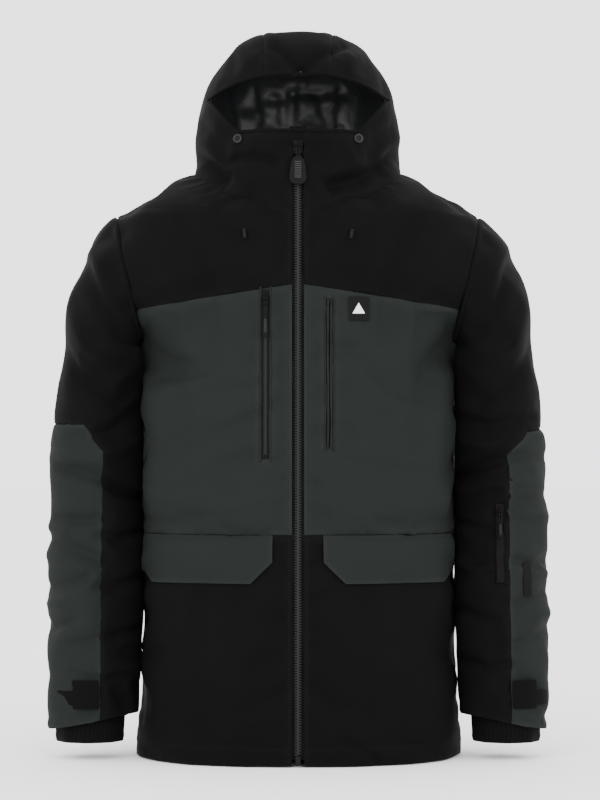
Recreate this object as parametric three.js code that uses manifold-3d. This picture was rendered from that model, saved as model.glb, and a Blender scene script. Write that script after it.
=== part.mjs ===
// Insulated ski jacket, hood up, as it stands on a wearer. Millimetres, +Z up, the front faces -Y,
// the wearer's left is +X. Heights below are counted from the hem; the exported group is then
// shifted so that the origin is the middle of the hanger loop inside the back neck.
import * as THREE from "three";
import { mergeVertices } from "three/addons/utils/BufferGeometryUtils.js";
import Module from "manifold-3d";

const wasm = await Module();
wasm.setup();

// ---------------------------------------------------------------- driving dimensions
const seamGap = 0.5; // between two panels that are sewn edge to edge
const shellThickness = 4; // outer fabric with its padding
const bagLayer = { from: 4.6, to: 5.8 }; // pocket bags and wind flap, behind the shell
const liningLayer = { from: 6.4, to: 7.4 };
const flapLayer = { from: -4, to: -0.5 }; // pocket flaps, in front of the shell

const sideSeamY = 5; // the front and back panels meet in this plane
const bodyHalfWidth = 208;
const hemFlare = 8; // extra half width at the hem
const hemFlareHeight = 250;
const underarmHeight = 547;
const armholeHeight = 175;
const armholeLean = 35; // the shoulder tip stands this much further out than the underarm
const shoulderSlope = 0.52; // rise over run from the shoulder tip to the neck
const hemDepth = 170; // from the side seam to the front edge at the hem
const frontLean = 0.069; // the front edge leans back by this much per millimetre of height
const backDepth = { hem: 130, waist: 121, underarm: 133, blade: 124, tip: 104, nape: 87, top: 60 };

const yokeSeam = { centre: 625, drop: 0.154 }; // height at the zip, and fall per millimetre outwards
const flapSeamHeight = 297;
const backYokeHeight = 600;

const neckHeight = 722; // where the collar starts at the zip
const collarTop = 826; // lower edge of the face opening
const hoodHalfWidth = 137.5;
const hoodWidestHeight = 800;
const hoodTop = 975;
const hoodBack = 116; // depth of the hood behind its own middle
const hoodMiddleY = 8;
const hoodPivotHeight = 790;
const hoodCentreHalfWidth = 46;
const faceOpening = { halfWidth: 119, cornerHeight: 873, topHeight: 901, flatHalfWidth: 74 };

const zipGapHalf = 8; // half the gap between the two fronts
const zipTop = 812;
const sleeveGap = 2.5; // between the body and the hanging sleeve
const sleeveHalfWidth = 61;
const elbowHeight = 395;
const elbowHalfLength = 50;
const cuffInnerHeight = 62; // the shell's cuff edge is cut on a slant
const cuffOuterHeight = 37;
const gaiterBottom = 21;

// ---------------------------------------------------------------- mesh helpers
function solidOf(geometry) {
  const bare = geometry.clone();
  bare.deleteAttribute("normal");
  bare.deleteAttribute("uv");
  const merged = mergeVertices(bare, 1e-4);
  const vertProperties = merged.attributes.position.array;
  const triVerts = new Uint32Array(merged.index.array);
  return new wasm.Manifold(new wasm.Mesh({ numProp: 3, vertProperties, triVerts }));
}

function geometryOf(solid) {
  const mesh = solid.getMesh();
  return new THREE.BufferGeometry()
    .setAttribute("position", new THREE.BufferAttribute(new Float32Array(mesh.vertProperties), 3))
    .setIndex(new THREE.BufferAttribute(new Uint32Array(mesh.triVerts), 1));
}

// A closed solid through rings of points, each ring with the same number of points.
function loft(rings) {
  const count = rings[0].length;
  const points = rings.flat();
  const index = [];
  for (let r = 0; r + 1 < rings.length; r++)
    for (let k = 0; k < count; k++) {
      const a = r * count + k;
      const b = r * count + ((k + 1) % count);
      index.push(a, b, a + count, b, b + count, a + count);
    }
  const capCentre = (ring) =>
    ring.reduce((sum, p) => sum.add(p), new THREE.Vector3()).divideScalar(count);
  const first = points.length;
  points.push(capCentre(rings[0]), capCentre(rings[rings.length - 1]));
  const lastRing = (rings.length - 1) * count;
  for (let k = 0; k < count; k++) {
    const next = (k + 1) % count;
    index.push(first, next, k, first + 1, lastRing + k, lastRing + next);
  }
  const merged = mergeVertices(new THREE.BufferGeometry().setFromPoints(points).setIndex(index), 1e-3);
  const kept = [];
  for (let i = 0; i < merged.index.count; i += 3) {
    const [a, b, c] = [0, 1, 2].map((k) => merged.index.getX(i + k));
    if (a !== b && b !== c && c !== a) kept.push(a, b, c);
  }
  return solidOf(merged.setIndex(kept));
}

const box = (x0, x1, y0, y1, z0, z1) =>
  solidOf(
    new THREE.BoxGeometry(x1 - x0, y1 - y0, z1 - z0).translate((x0 + x1) / 2, (y0 + y1) / 2, (z0 + z1) / 2),
  );

// An outline drawn in the front view (x, height), cut through everything between two depths.
function frontCut(shape, y0, y1) {
  const options = { depth: y1 - y0, bevelEnabled: false, curveSegments: 8 };
  const geometry = new THREE.ExtrudeGeometry(shape, options);
  return solidOf(geometry.rotateX(Math.PI / 2).translate(0, y1, 0));
}

const polygon = (...points) => new THREE.Shape(points.map(([x, z]) => new THREE.Vector2(x, z)));
const smooth = (value, from, to) => THREE.MathUtils.smoothstep(value, from, to);
const far = 900; // reaches past the whole jacket
const intoFront = [-far, sideSeamY - seamGap / 2];
const intoBack = [sideSeamY + seamGap / 2, far];

// A smooth line through [height, value] pairs.
function profile(pairs) {
  const curve = new THREE.CubicInterpolant(
    Float32Array.from(pairs, (p) => p[0]),
    Float32Array.from(pairs, (p) => p[1]),
    1,
  );
  return (z) => curve.evaluate(THREE.MathUtils.clamp(z, pairs[0][0], pairs[pairs.length - 1][0]))[0];
}

// ---------------------------------------------------------------- body
const underarmX = bodyHalfWidth + 2;
const tipX = underarmX + armholeLean;
const tipHeight = underarmHeight + armholeHeight;
const armholeRadius = Math.hypot(armholeLean, armholeHeight) / 2;
const armholeMiddle = underarmHeight + armholeHeight / 2;
const armholeCentre = new THREE.Vector3(underarmX + armholeLean / 2, sideSeamY, armholeMiddle);
const armholeUp = new THREE.Vector3(armholeLean, 0, armholeHeight).normalize();
const armholeOut = new THREE.Vector3(armholeUp.z, 0, -armholeUp.x);
const bodySection = 2.4; // roundness of a horizontal cut through the body

const backLine = profile([
  [-20, backDepth.hem],
  [underarmHeight * 0.55, backDepth.waist],
  [underarmHeight, backDepth.underarm],
  [underarmHeight + armholeHeight * 0.6, backDepth.blade],
  [tipHeight, backDepth.tip],
  [tipHeight + 33, backDepth.nape],
  [tipHeight + 63, backDepth.top],
]);

const frontLine = (z) => hemDepth - frontLean * z;
const frontDepth = (z) => frontLine(z) - 0.8 * Math.max(0, z - neckHeight);

function bodyHalfWidthAt(z, inset) {
  const flare = hemFlare * Math.max(0, 1 - z / hemFlareHeight) ** 2;
  const side = bodyHalfWidth + flare + 2 * smooth(z, underarmHeight - 100, underarmHeight);
  const armhole = underarmX + ((z - underarmHeight) * armholeLean) / armholeHeight;
  const slope = tipX - (z + inset * 1.13 - tipHeight) / shoulderSlope;
  return Math.min((z > underarmHeight ? armhole : side) - inset, slope);
}

// One horizontal cut through the body, inset from the outer face.
function bodyRing(z, inset, half = 13) {
  const width = bodyHalfWidthAt(z, inset);
  const alongArmhole = (z - armholeCentre.z) / armholeUp.z;
  const rim = Math.sqrt(Math.max(0, (armholeRadius - inset) ** 2 - alongArmhole ** 2));
  const edge = z > underarmHeight ? rim : 0;
  const power =
    1 / bodySection +
    0.43 * smooth(z, underarmHeight - 97, underarmHeight + 53) -
    0.3 * smooth(z, tipHeight - 32, tipHeight + 13);
  const ring = [];
  for (let k = 0; k <= half; k++) {
    const s = -Math.cos((Math.PI * k) / half);
    const crown = Math.max(0, 1 - Math.abs(s) ** bodySection) ** power;
    ring.push(new THREE.Vector3(s * width, sideSeamY - edge - (frontDepth(z) - inset - edge) * crown, z));
  }
  for (let k = 0; k <= half; k++) {
    const s = Math.cos((Math.PI * k) / half);
    const crown = Math.max(0, 1 - Math.abs(s) ** bodySection) ** power;
    ring.push(new THREE.Vector3(s * width, sideSeamY + edge + (backLine(z) - inset - edge) * crown, z));
  }
  return ring;
}

function bodySolid(inset) {
  const bottom = inset > 0 ? -20 : 0;
  const top = tipHeight + 58 - inset;
  const inArmhole = [0, 0.12, 0.3, 0.5, 0.7, 0.88, 1];
  const heights = [
    bottom,
    60,
    150,
    300,
    underarmHeight - 110,
    underarmHeight - 45,
    ...inArmhole.map((t) => underarmHeight + Math.max(0, inset) + t * (armholeHeight - 2 * Math.max(0, inset))),
    tipHeight + 14,
    tipHeight + 34,
    top,
  ];
  return loft(heights.map((z) => bodyRing(z, inset)));
}

// The way through the armholes, as wide as the inner face at that inset.
function armPassages(inset) {
  const passage = (side) => {
    const tube = new THREE.CylinderGeometry(armholeRadius - inset, armholeRadius - inset, 60, 24);
    const out = armholeOut.clone().multiply(new THREE.Vector3(side, 1, 1));
    const centre = armholeCentre.clone().multiply(new THREE.Vector3(side, 1, 1));
    const turn = new THREE.Quaternion().setFromUnitVectors(new THREE.Vector3(0, 1, 0), out);
    return solidOf(tube.applyQuaternion(turn).translate(centre.x, centre.y, centre.z));
  };
  return passage(1).add(passage(-1));
}

// ---------------------------------------------------------------- hood and collar
const hoodCrown = hoodTop - hoodWidestHeight;
const hoodHalf = (z) =>
  z > hoodWidestHeight
    ? hoodHalfWidth * Math.max(0, 1 - ((z - hoodWidestHeight) / hoodCrown) ** 2.3) ** 0.45
    : hoodHalfWidth - 12 * ((hoodWidestHeight - z) / (hoodWidestHeight - neckHeight)) ** 1.5;
const hoodFace = (z) =>
  z > collarTop
    ? (frontLine(collarTop) - sideSeamY + hoodMiddleY) *
      Math.max(0, 1 - ((z - collarTop) / (hoodTop - collarTop)) ** 4) ** 0.45
    : frontLine(z) - sideSeamY + hoodMiddleY;
const hoodNapeHeight = hoodWidestHeight + 50;
const hoodRear = (z) =>
  z > hoodNapeHeight
    ? hoodBack * Math.max(0, 1 - ((z - hoodNapeHeight) / (hoodTop - hoodNapeHeight)) ** 2.6) ** 0.5
    : hoodBack - 34 * ((hoodNapeHeight - z) / (hoodNapeHeight - neckHeight)) ** 1.2;

function hoodRing(z, inset, count = 24) {
  // Inset cuts are taken a little higher, so that the crown keeps its thickness.
  const lift = neckHeight + ((z - neckHeight) * (hoodTop - neckHeight)) / (hoodTop - inset - neckHeight);
  const section = 2.15;
  const ring = [];
  for (let k = 0; k < count; k++) {
    const angle = (2 * Math.PI * k) / count;
    const across = Math.sign(Math.sin(angle)) * Math.abs(Math.sin(angle)) ** (2 / section);
    const along = Math.sign(Math.cos(angle)) * Math.abs(Math.cos(angle)) ** (2 / section);
    const depth = along > 0 ? hoodFace(lift) : hoodRear(lift);
    const shrink = (size) => Math.max(1.5, size - inset);
    ring.push(new THREE.Vector3(across * shrink(hoodHalf(lift)), hoodMiddleY - along * shrink(depth), z));
  }
  return ring;
}

function hoodSolid(inset, bottom = neckHeight) {
  const top = hoodTop - inset;
  const shares = [0, 0.1, 0.2, 0.31, 0.41, 0.52, 0.62, 0.71, 0.79, 0.86, 0.92, 0.96, 0.99];
  const rings = shares.map((t) => hoodRing(neckHeight + t * (top - neckHeight), inset));
  if (bottom < neckHeight) rings.unshift(hoodRing(neckHeight, inset).map((p) => p.clone().setZ(bottom)));
  return loft(rings);
}

function faceShape(grow) {
  const { halfWidth, cornerHeight, topHeight, flatHalfWidth } = faceOpening;
  const w = halfWidth + grow;
  const flat = flatHalfWidth + grow / 2;
  const shape = new THREE.Shape();
  shape.moveTo(-w, cornerHeight);
  shape.bezierCurveTo(-w * 0.8, cornerHeight - 30, -flat - 10, collarTop - grow, -flat, collarTop - grow);
  shape.lineTo(flat, collarTop - grow);
  shape.bezierCurveTo(flat + 10, collarTop - grow, w * 0.8, cornerHeight - 30, w, cornerHeight);
  shape.bezierCurveTo(w * 0.7, topHeight - 4 + grow, w * 0.35, topHeight + grow, 0, topHeight + grow);
  shape.bezierCurveTo(-w * 0.35, topHeight + grow, -w * 0.7, topHeight - 4 + grow, -w, cornerHeight);
  return shape;
}

const hoodPivotY = hoodMiddleY + hoodRear(hoodPivotHeight);
const zipY = (z) => sideSeamY - frontLine(z);
// Everything above the plane from the nape to the lower edge of the face opening turns with the hood.
function aboveHoodPlane(gap) {
  const rise = collarTop - hoodPivotHeight;
  const run = hoodPivotY - zipY(collarTop);
  const block = new THREE.BoxGeometry(2 * far, 2 * far, far).translate(0, 0, far / 2 + gap);
  return solidOf(block.rotateX(-Math.atan2(rise, run)).translate(0, hoodPivotY, hoodPivotHeight));
}

// ---------------------------------------------------------------- sleeves
const sleeveInnerX = bodyHalfWidth + sleeveGap;
const sleeveLine = {
  inner: profile([
    [0, sleeveInnerX + 12],
    [110, sleeveInnerX + 9],
    [200, sleeveInnerX + 2],
    [300, sleeveInnerX],
    [underarmHeight - 34, sleeveInnerX + 1],
  ]),
  outer: profile([
    [0, sleeveInnerX + 2 * sleeveHalfWidth - 1],
    [200, sleeveInnerX + 2 * sleeveHalfWidth + 3],
    [320, sleeveInnerX + 2 * sleeveHalfWidth + 2],
    [elbowHeight + 30, sleeveInnerX + 2 * sleeveHalfWidth],
    [underarmHeight - 34, sleeveInnerX + 2 * sleeveHalfWidth - 13],
  ]),
  depth: profile([
    [0, 53],
    [110, 57],
    [200, 64],
    [elbowHeight, 76],
    [underarmHeight - 34, 81],
  ]),
  middleY: profile([
    [0, -43],
    [110, -31],
    [200, -12],
    [elbowHeight - elbowHalfLength, 20],
    [elbowHeight, 24],
    [elbowHeight + elbowHalfLength, 24],
    [underarmHeight - 34, 18],
  ]),
};

// One cut through the wearer's left sleeve, between an inner and an outer point in the front view.
function sleeveRing(inner, outer, depth, middleY, inset, count = 18) {
  const middle = inner.clone().add(outer).multiplyScalar(0.5);
  const chord = outer.clone().sub(inner);
  const half = chord.length() / 2 - inset;
  chord.normalize();
  const ring = [];
  for (let k = 0; k < count; k++) {
    const angle = (2 * Math.PI * k) / count;
    const reach = half * Math.cos(angle);
    const y = middleY - (depth - inset) * Math.sin(angle);
    ring.push(new THREE.Vector3(middle.x + chord.x * reach, y, middle.y + chord.y * reach));
  }
  return ring;
}

// Between the armhole and the hanging tube, the cuts fan round the underarm.
const shoulderFan = [
  { inner: [0.8, -7], outer: [70, 136], depth: 88 },
  { inner: [1.2, -15], outer: [93, 82], depth: 86 },
  { inner: [1.5, -24], outer: [102, 33], depth: 84 },
];

function sleeveSolid(inset, bottom) {
  const rings = [];
  const armholeRing = (along) => {
    const reach = armholeUp.clone().multiplyScalar(armholeRadius);
    const centre = armholeCentre.clone().addScaledVector(armholeOut, along);
    const low = centre.clone().sub(reach);
    const high = centre.clone().add(reach);
    return sleeveRing(
      new THREE.Vector2(low.x, low.z),
      new THREE.Vector2(high.x, high.z),
      armholeRadius,
      sideSeamY,
      inset,
    );
  };
  if (inset > 0) rings.push(armholeRing(-25));
  rings.push(armholeRing(seamGap));
  for (const { inner, outer, depth } of shoulderFan)
    rings.push(
      sleeveRing(
        new THREE.Vector2(underarmX + inner[0], underarmHeight + inner[1]),
        new THREE.Vector2(underarmX + outer[0], underarmHeight + outer[1]),
        depth,
        sideSeamY + 1,
        inset,
      ),
    );
  const elbowTop = elbowHeight + elbowHalfLength;
  const elbowBottom = elbowHeight - elbowHalfLength;
  const heights = [underarmHeight - 34, 479, elbowTop, elbowHeight, elbowBottom, 290, 200, 110, bottom];
  for (const z of heights) {
    const cut = [sleeveLine.inner(z), sleeveLine.outer(z)].map((x) => new THREE.Vector2(x, z));
    rings.push(sleeveRing(cut[0], cut[1], sleeveLine.depth(z), sleeveLine.middleY(z), inset));
  }
  return loft(rings);
}

// Below the slanted cuff edge.
function belowCuff() {
  const rise = cuffInnerHeight - cuffOuterHeight;
  const run = 2 * sleeveHalfWidth;
  const cuffMiddle = (cuffInnerHeight + cuffOuterHeight) / 2;
  const block = new THREE.BoxGeometry(run * 3, far, far).translate(0, 0, -far / 2);
  return solidOf(
    block.rotateY(Math.atan2(rise, run)).translate(sleeveInnerX + sleeveHalfWidth, 0, cuffMiddle),
  );
}

// ---------------------------------------------------------------- materials
const material = (color, roughness, metalness = 0) =>
  new THREE.MeshStandardMaterial({ color, roughness, metalness });
const blackShell = material(0x1b1b1b, 0.85);
const greyShell = material(0x313433, 0.85);
const liningCloth = material(0x17181a, 0.45);
const knit = material(0x1a1a1a, 0.95);
const zipTape = material(0x121212, 0.8);
const coatedTape = material(0x0c0c0c, 0.25);
const mouldedPlastic = material(0x141414, 0.4);
const darkMetal = material(0x2a2a2c, 0.35, 0.8);
const patchRubber = material(0x101010, 0.4);

const jacket = new THREE.Group();
jacket.name = "ski_jacket";
const solids = new Map();
function add(name, solid, finish, parent = jacket) {
  solids.set(name, solid);
  const mesh = new THREE.Mesh(geometryOf(solid), finish);
  mesh.name = name;
  parent.add(mesh);
  return mesh;
}

// Moves a trim in from outside the cloth until it rests just clear of it. Direction points into the cloth.
const restGap = 0.4;
function restOn(trim, cloth, direction) {
  let solid = trim;
  for (let k = 0; k < 3; k++) {
    const gap = Math.min(...cloth.map((piece) => solid.minGap(piece, 40)));
    solid = solid.translate(direction.clone().multiplyScalar(gap - restGap).toArray());
  }
  return solid;
}
const placed = (solid, group) => {
  group.updateMatrix();
  return solid.transform(group.matrix.toArray());
};

const sides = [
  ["left", 1],
  ["right", -1],
];
const mirrored = (solid, side) => (side > 0 ? solid : solid.mirror([1, 0, 0]));

// ---------------------------------------------------------------- body panels
const bodyLayers = new Map();
function bodyAt(inset) {
  if (!bodyLayers.has(inset)) bodyLayers.set(inset, bodySolid(inset));
  return bodyLayers.get(inset);
}
const bodyLayer = (from, to) => bodyAt(from).subtract(bodyAt(to)).subtract(armPassages(Math.max(to, 0)));

const hoodOuter = hoodSolid(0, neckHeight - 0.01);
const hoodClear = hoodSolid(-seamGap);
const bodyShell = bodyLayer(0, shellThickness).subtract(hoodClear);
const zipGap = box(-zipGapHalf, zipGapHalf, -far, 0, -60, far);

const seamAt = (x) => yokeSeam.centre - yokeSeam.drop * x;
const yokeOutline = (lowGap) =>
  polygon([0, seamAt(0) + lowGap], [tipX + 20, seamAt(tipX + 20) + lowGap], [tipX + 20, far], [0, far]);
const chestOutline = polygon(
  [0, flapSeamHeight + seamGap / 2],
  [tipX + 20, flapSeamHeight + seamGap / 2],
  [tipX + 20, seamAt(tipX + 20) - seamGap / 2],
  [0, seamAt(0) - seamGap / 2],
);
const lowerOutline = polygon(
  [0, -50],
  [tipX + 20, -50],
  [tipX + 20, flapSeamHeight - seamGap / 2],
  [0, flapSeamHeight - seamGap / 2],
);

const chestZip = {
  right: { x: -42.4, low: 396, high: 616, width: 12 },
  left: { x: 41, low: 410, high: 604, width: 9.5 },
};
const zipSlot = ({ x, low, high, width }) =>
  box(x - width / 2 - seamGap, x + width / 2 + seamGap, -far, 0, low - seamGap, high + seamGap);

for (const [name, side] of sides) {
  const cut = (shape) => mirrored(frontCut(shape, ...intoFront), side);
  const front = bodyShell.subtract(zipGap);
  add(`yoke_front_${name}`, front.intersect(cut(yokeOutline(seamGap / 2))), blackShell);
  const chest = front.intersect(cut(chestOutline)).subtract(zipSlot(chestZip[name]));
  add(`chest_panel_${name}`, chest, greyShell);
  add(`lower_front_${name}`, front.intersect(cut(lowerOutline)), blackShell);
}
const band = (low, high) => polygon([-far, low], [far, low], [far, high], [-far, high]);
const cutBack = (low, high) => bodyShell.intersect(frontCut(band(low, high), ...intoBack));
add("yoke_back", cutBack(backYokeHeight + seamGap / 2, far), blackShell);
add("back_panel", cutBack(flapSeamHeight + seamGap / 2, backYokeHeight - seamGap / 2), greyShell);
add("lower_back", cutBack(-50, flapSeamHeight - seamGap / 2), blackShell);

// ---------------------------------------------------------------- pocket flaps
const flap = {
  backY: -45,
  inner: 33,
  outer: bodyHalfWidth + 1,
  drop: 63, // from the flap seam to the lower edge
  chamfer: { wide: 29, high: 28 },
  cornerCut: 12,
};
const flapBottom = flapSeamHeight - flap.drop;
const flapOutline = polygon(
  [flap.inner, flapSeamHeight],
  [flap.inner, flapBottom + flap.chamfer.high],
  [flap.inner + flap.chamfer.wide, flapBottom],
  [flap.outer - flap.cornerCut, flapBottom],
  [flap.outer, flapBottom + flap.cornerCut],
  [flap.outer, flapSeamHeight],
);
const flapStock = bodyAt(flapLayer.from).subtract(bodyAt(flapLayer.to));
const flapCut = frontCut(flapOutline, -far, flap.backY);
for (const [name, side] of sides) add(`pocket_flap_${name}`, flapStock.intersect(mirrored(flapCut, side)), greyShell);

// ---------------------------------------------------------------- inside the body
const liningHalfGap = 24;
const bodyLining = bodyLayer(liningLayer.from, liningLayer.to)
  .subtract(hoodClear)
  .subtract(box(-liningHalfGap, liningHalfGap, -far, 0, -60, far))
  .subtract(box(-far, far, -far, far, -60, 8));
add("body_lining", bodyLining, liningCloth);

const bagStock = bodyLayer(bagLayer.from, bagLayer.to).subtract(hoodClear);
const windFlapHalf = 22;
const windFlapBox = box(-windFlapHalf, windFlapHalf, -far, 0, 8, neckHeight - 6);
add("wind_flap", bagStock.intersect(windFlapBox), blackShell);

const handBag = { inner: 30, outer: 165, drop: 225, high: flapSeamHeight - 12 };
for (const [name, side] of sides) {
  const inner = Math.min(side * handBag.inner, side * handBag.outer);
  const outer = Math.max(side * handBag.inner, side * handBag.outer);
  const bagBox = box(inner, outer, -far, 0, handBag.high - handBag.drop, handBag.high);
  add(`hand_pocket_bag_${name}`, bagStock.intersect(bagBox), liningCloth);
  const chest = chestZip[name];
  const chestInner = Math.min(side * 28, side * 140);
  const chestOuter = Math.max(side * 28, side * 140);
  add(
    `chest_pocket_bag_${name}`,
    bagStock.intersect(box(chestInner, chestOuter, -far, 0, chest.low - 20, chest.high - 30)),
    liningCloth,
  );
}

const skirt = { low: 235, high: 330 };
const skirtStock = bodyAt(liningLayer.to + 0.6).subtract(bodyAt(liningLayer.to + 1.8));
add(
  "snow_skirt",
  skirtStock
    .intersect(box(-far, far, -far, far, skirt.low, skirt.high))
    .subtract(box(-liningHalfGap, liningHalfGap, -far, 0, 0, far)),
  liningCloth,
);

// ---------------------------------------------------------------- collar and hood
const hoodShell = hoodOuter.subtract(hoodSolid(shellThickness, neckHeight - 30));
const bodyClear = bodyAt(-seamGap);
const openFace = frontCut(faceShape(0), -far, hoodMiddleY);
const collarShell = hoodShell.subtract(bodyClear).subtract(aboveHoodPlane(-seamGap)).subtract(openFace);
for (const [name, side] of sides) {
  const half = mirrored(box(0, far, -far, sideSeamY - seamGap / 2, -far, far), side);
  add(`collar_${name}`, collarShell.subtract(zipGap).intersect(half), blackShell);
}
const behindSeam = box(-far, far, sideSeamY + seamGap / 2, far, -far, far);
add("collar_back", collarShell.intersect(behindSeam), blackShell);

const underFaceHalf = faceOpening.flatHalfWidth + 12;
const underFace = box(-underFaceHalf, underFaceHalf, -far, 0, 0, collarTop + 2);
const movingHood = hoodShell.intersect(aboveHoodPlane(seamGap)).subtract(openFace).subtract(underFace);
const centreHalf = hoodCentreHalfWidth;
add("hood_centre", movingHood.intersect(box(-centreHalf, centreHalf, -far, far, 0, 2 * far)), blackShell);
for (const [name, side] of sides) {
  const beside = mirrored(box(centreHalf + seamGap, far, -far, far, 0, 2 * far), side);
  add(`hood_side_${name}`, movingHood.intersect(beside), blackShell);
}

const hoodLiningStock = hoodSolid(shellThickness + 0.6, neckHeight - 0.01).subtract(
  hoodSolid(shellThickness + 1.6, neckHeight - 30),
);
const openFaceWide = frontCut(faceShape(3), -far, hoodMiddleY);
add(
  "hood_lining",
  hoodLiningStock.intersect(aboveHoodPlane(1.5)).subtract(openFaceWide).subtract(underFace),
  liningCloth,
);
add(
  "collar_lining",
  hoodLiningStock
    .subtract(aboveHoodPlane(-1))
    .subtract(openFaceWide)
    .subtract(bodyClear)
    .subtract(box(-14, 14, -far, 0, 0, far)),
  liningCloth,
);
const bindingStock = hoodSolid(-1.8).subtract(hoodSolid(-0.5));
const bindingRegion = frontCut(faceShape(7), -far, hoodMiddleY - 1).subtract(
  frontCut(faceShape(1), -far, hoodMiddleY),
);
add("hood_edge_binding", bindingStock.intersect(bindingRegion).intersect(aboveHoodPlane(8)), blackShell);

// ---------------------------------------------------------------- sleeve panels
const beyondArmhole = solidOf(
  new THREE.BoxGeometry(far, far, far)
    .translate(far / 2 + seamGap, 0, 0)
    .rotateY(Math.atan(armholeLean / armholeHeight))
    .translate(armholeCentre.x, 0, armholeCentre.z),
);
const sleeveShell = sleeveSolid(0, 0).subtract(sleeveSolid(shellThickness, -20)).subtract(belowCuff());
const sleeveLiningStock = sleeveSolid(shellThickness + 0.8, 0)
  .subtract(sleeveSolid(shellThickness + 1.8, -20))
  .intersect(beyondArmhole);
const elbowTop = elbowHeight + elbowHalfLength;
const elbowBottom = elbowHeight - elbowHalfLength;
const slab = (low, high) => box(0, far, -far, far, low, high);
const passZip = { x: 268, low: 232, high: 336, width: 11 };
const outerSeamX = { left: 278, right: 258 }; // where the grey outer panel starts, seen from the front
const tab = { length: 64, wide: 38, narrow: 20, low: 67, grip: 30 };
const gaiterTop = 92;
const gaiterInset = shellThickness + 7;

for (const [name, side] of sides) {
  const seam = outerSeamX[name];
  const greySide = box(seam, far, -far, far, -far, far);
  const blackSide = box(0, seam - seamGap, -far, far, -far, far);
  const place = (label, solid, finish) => add(`${label}_${name}`, mirrored(solid, side), finish);
  place("upper_sleeve", sleeveShell.intersect(slab(elbowTop + seamGap / 2, far)), blackShell);
  place("elbow", sleeveShell.intersect(slab(elbowBottom + seamGap / 2, elbowTop - seamGap / 2)), greyShell);
  const forearm = sleeveShell.intersect(slab(-50, elbowBottom - seamGap / 2));
  place("forearm_outer", forearm.intersect(greySide), greyShell);
  const inner = forearm.intersect(blackSide);
  place("forearm_inner", side > 0 ? inner.subtract(zipSlot(passZip)) : inner, blackShell);
  place("sleeve_lining", sleeveLiningStock.intersect(slab(gaiterTop + 3, far)), liningCloth);

  // The knitted gaiter hangs inside the cuff from a seam at its upper edge.
  const gaiterTube = sleeveSolid(gaiterInset, gaiterBottom).intersect(slab(gaiterBottom, gaiterTop));
  const seamSlab = slab(gaiterTop - 3, gaiterTop);
  const gaiterSeam = sleeveSolid(shellThickness + 0.7, gaiterBottom).intersect(seamSlab);
  place("wrist_gaiter", gaiterTube.add(gaiterSeam).subtract(sleeveSolid(gaiterInset + 2.5, -20)), knit);

  const tabShape = polygon(
    [seam, tab.low],
    [seam + tab.length - tab.grip, tab.low],
    [seam + tab.length - tab.grip + 6, tab.low + 4],
    [seam + tab.length, tab.low + 4],
    [seam + tab.length, tab.low + 4 + tab.narrow],
    [seam + tab.length - tab.grip, tab.low + 4 + tab.narrow],
    [seam + tab.length - tab.grip, tab.low + tab.wide],
    [seam, tab.low + tab.wide],
  );
  const tabStock = sleeveSolid(-3.2, 0).subtract(sleeveSolid(-0.9, -20));
  place("cuff_tab", tabStock.intersect(frontCut(tabShape, -far, -30)), blackShell);
}

// ---------------------------------------------------------------- zips
// A zip stands in its own group: its origin on the cloth, z along the zip, -y out of the cloth.
function zipGroup(x, y, z, lean) {
  const group = new THREE.Group();
  group.position.set(x, y, z);
  group.rotation.x = -lean;
  jacket.add(group);
  return group;
}

const profileAlong = (points, low, high) => {
  const shape = new THREE.Shape(points.map(([x, y]) => new THREE.Vector2(x, y)));
  const prism = new THREE.ExtrudeGeometry(shape, { depth: high - low, bevelEnabled: false });
  return solidOf(prism.translate(0, 0, low));
};

// A slider rides over the teeth: a front plate with two side walls, and two lugs that hold the pull.
function sliderSolid(halfWidth, length, wallDepth, plate, lug) {
  const wall = 1.6;
  const shape = [
    [-halfWidth, -plate],
    [halfWidth, -plate],
    [halfWidth, wallDepth],
    [halfWidth - wall, wallDepth],
    [halfWidth - wall, 0.2],
    [-halfWidth + wall, 0.2],
    [-halfWidth + wall, wallDepth],
    [-halfWidth, wallDepth],
  ];
  const lugs = [1, -1].map((s) =>
    mirrored(box(lug.inner, lug.outer, -plate - lug.height, -plate + 0.5, -lug.half, lug.half), s),
  );
  return profileAlong(shape, -length / 2, length / 2).add(lugs[0]).add(lugs[1]);
}

// A pull hangs from its pivot: a narrow neck, then a wider grip. In the front view, z = 0 at the pivot.
function pullSolid({ neck, neckLength, grip, gripLength, thickness, pivotRadius }) {
  const shape = new THREE.Shape();
  shape.moveTo(-neck, 0);
  shape.lineTo(-neck, -neckLength);
  shape.lineTo(-grip * 0.7, -neckLength - 4);
  shape.lineTo(-grip, -neckLength - gripLength + grip);
  shape.absarc(0, -neckLength - gripLength + grip, grip, Math.PI, 2 * Math.PI, false);
  shape.lineTo(grip * 0.7, -neckLength - 4);
  shape.lineTo(neck, -neckLength);
  shape.lineTo(neck, 0);
  const flat = frontCut(shape, -thickness / 2, thickness / 2);
  const knuckle = new THREE.CylinderGeometry(pivotRadius, pivotRadius, 2 * neck, 16).rotateZ(Math.PI / 2);
  return flat.add(solidOf(knuckle));
}

const lean = Math.atan(frontLean);
const alongZip = (z) => z / Math.cos(lean);
const mainZip = zipGroup(0, zipY(0), 0, lean);
const tapeHalf = { inner: 0.3, outer: zipGapHalf - 0.4, front: 3, back: 4.2 };
const teeth = { outer: 3.2, front: 0.6 };
for (const [name, side] of sides) {
  const tape = box(tapeHalf.inner, tapeHalf.outer, tapeHalf.front, tapeHalf.back, 2, alongZip(zipTop + 10));
  const ridge = box(tapeHalf.inner, teeth.outer, teeth.front, tapeHalf.front + 0.2, 14, alongZip(zipTop));
  add(`zip_tape_${name}`, mirrored(tape.add(ridge), side), zipTape, mainZip);
}
add("zip_box", box(-3.6, 3.6, -0.6, 2.6, 1, 13.5), mouldedPlastic, mainZip);

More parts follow.
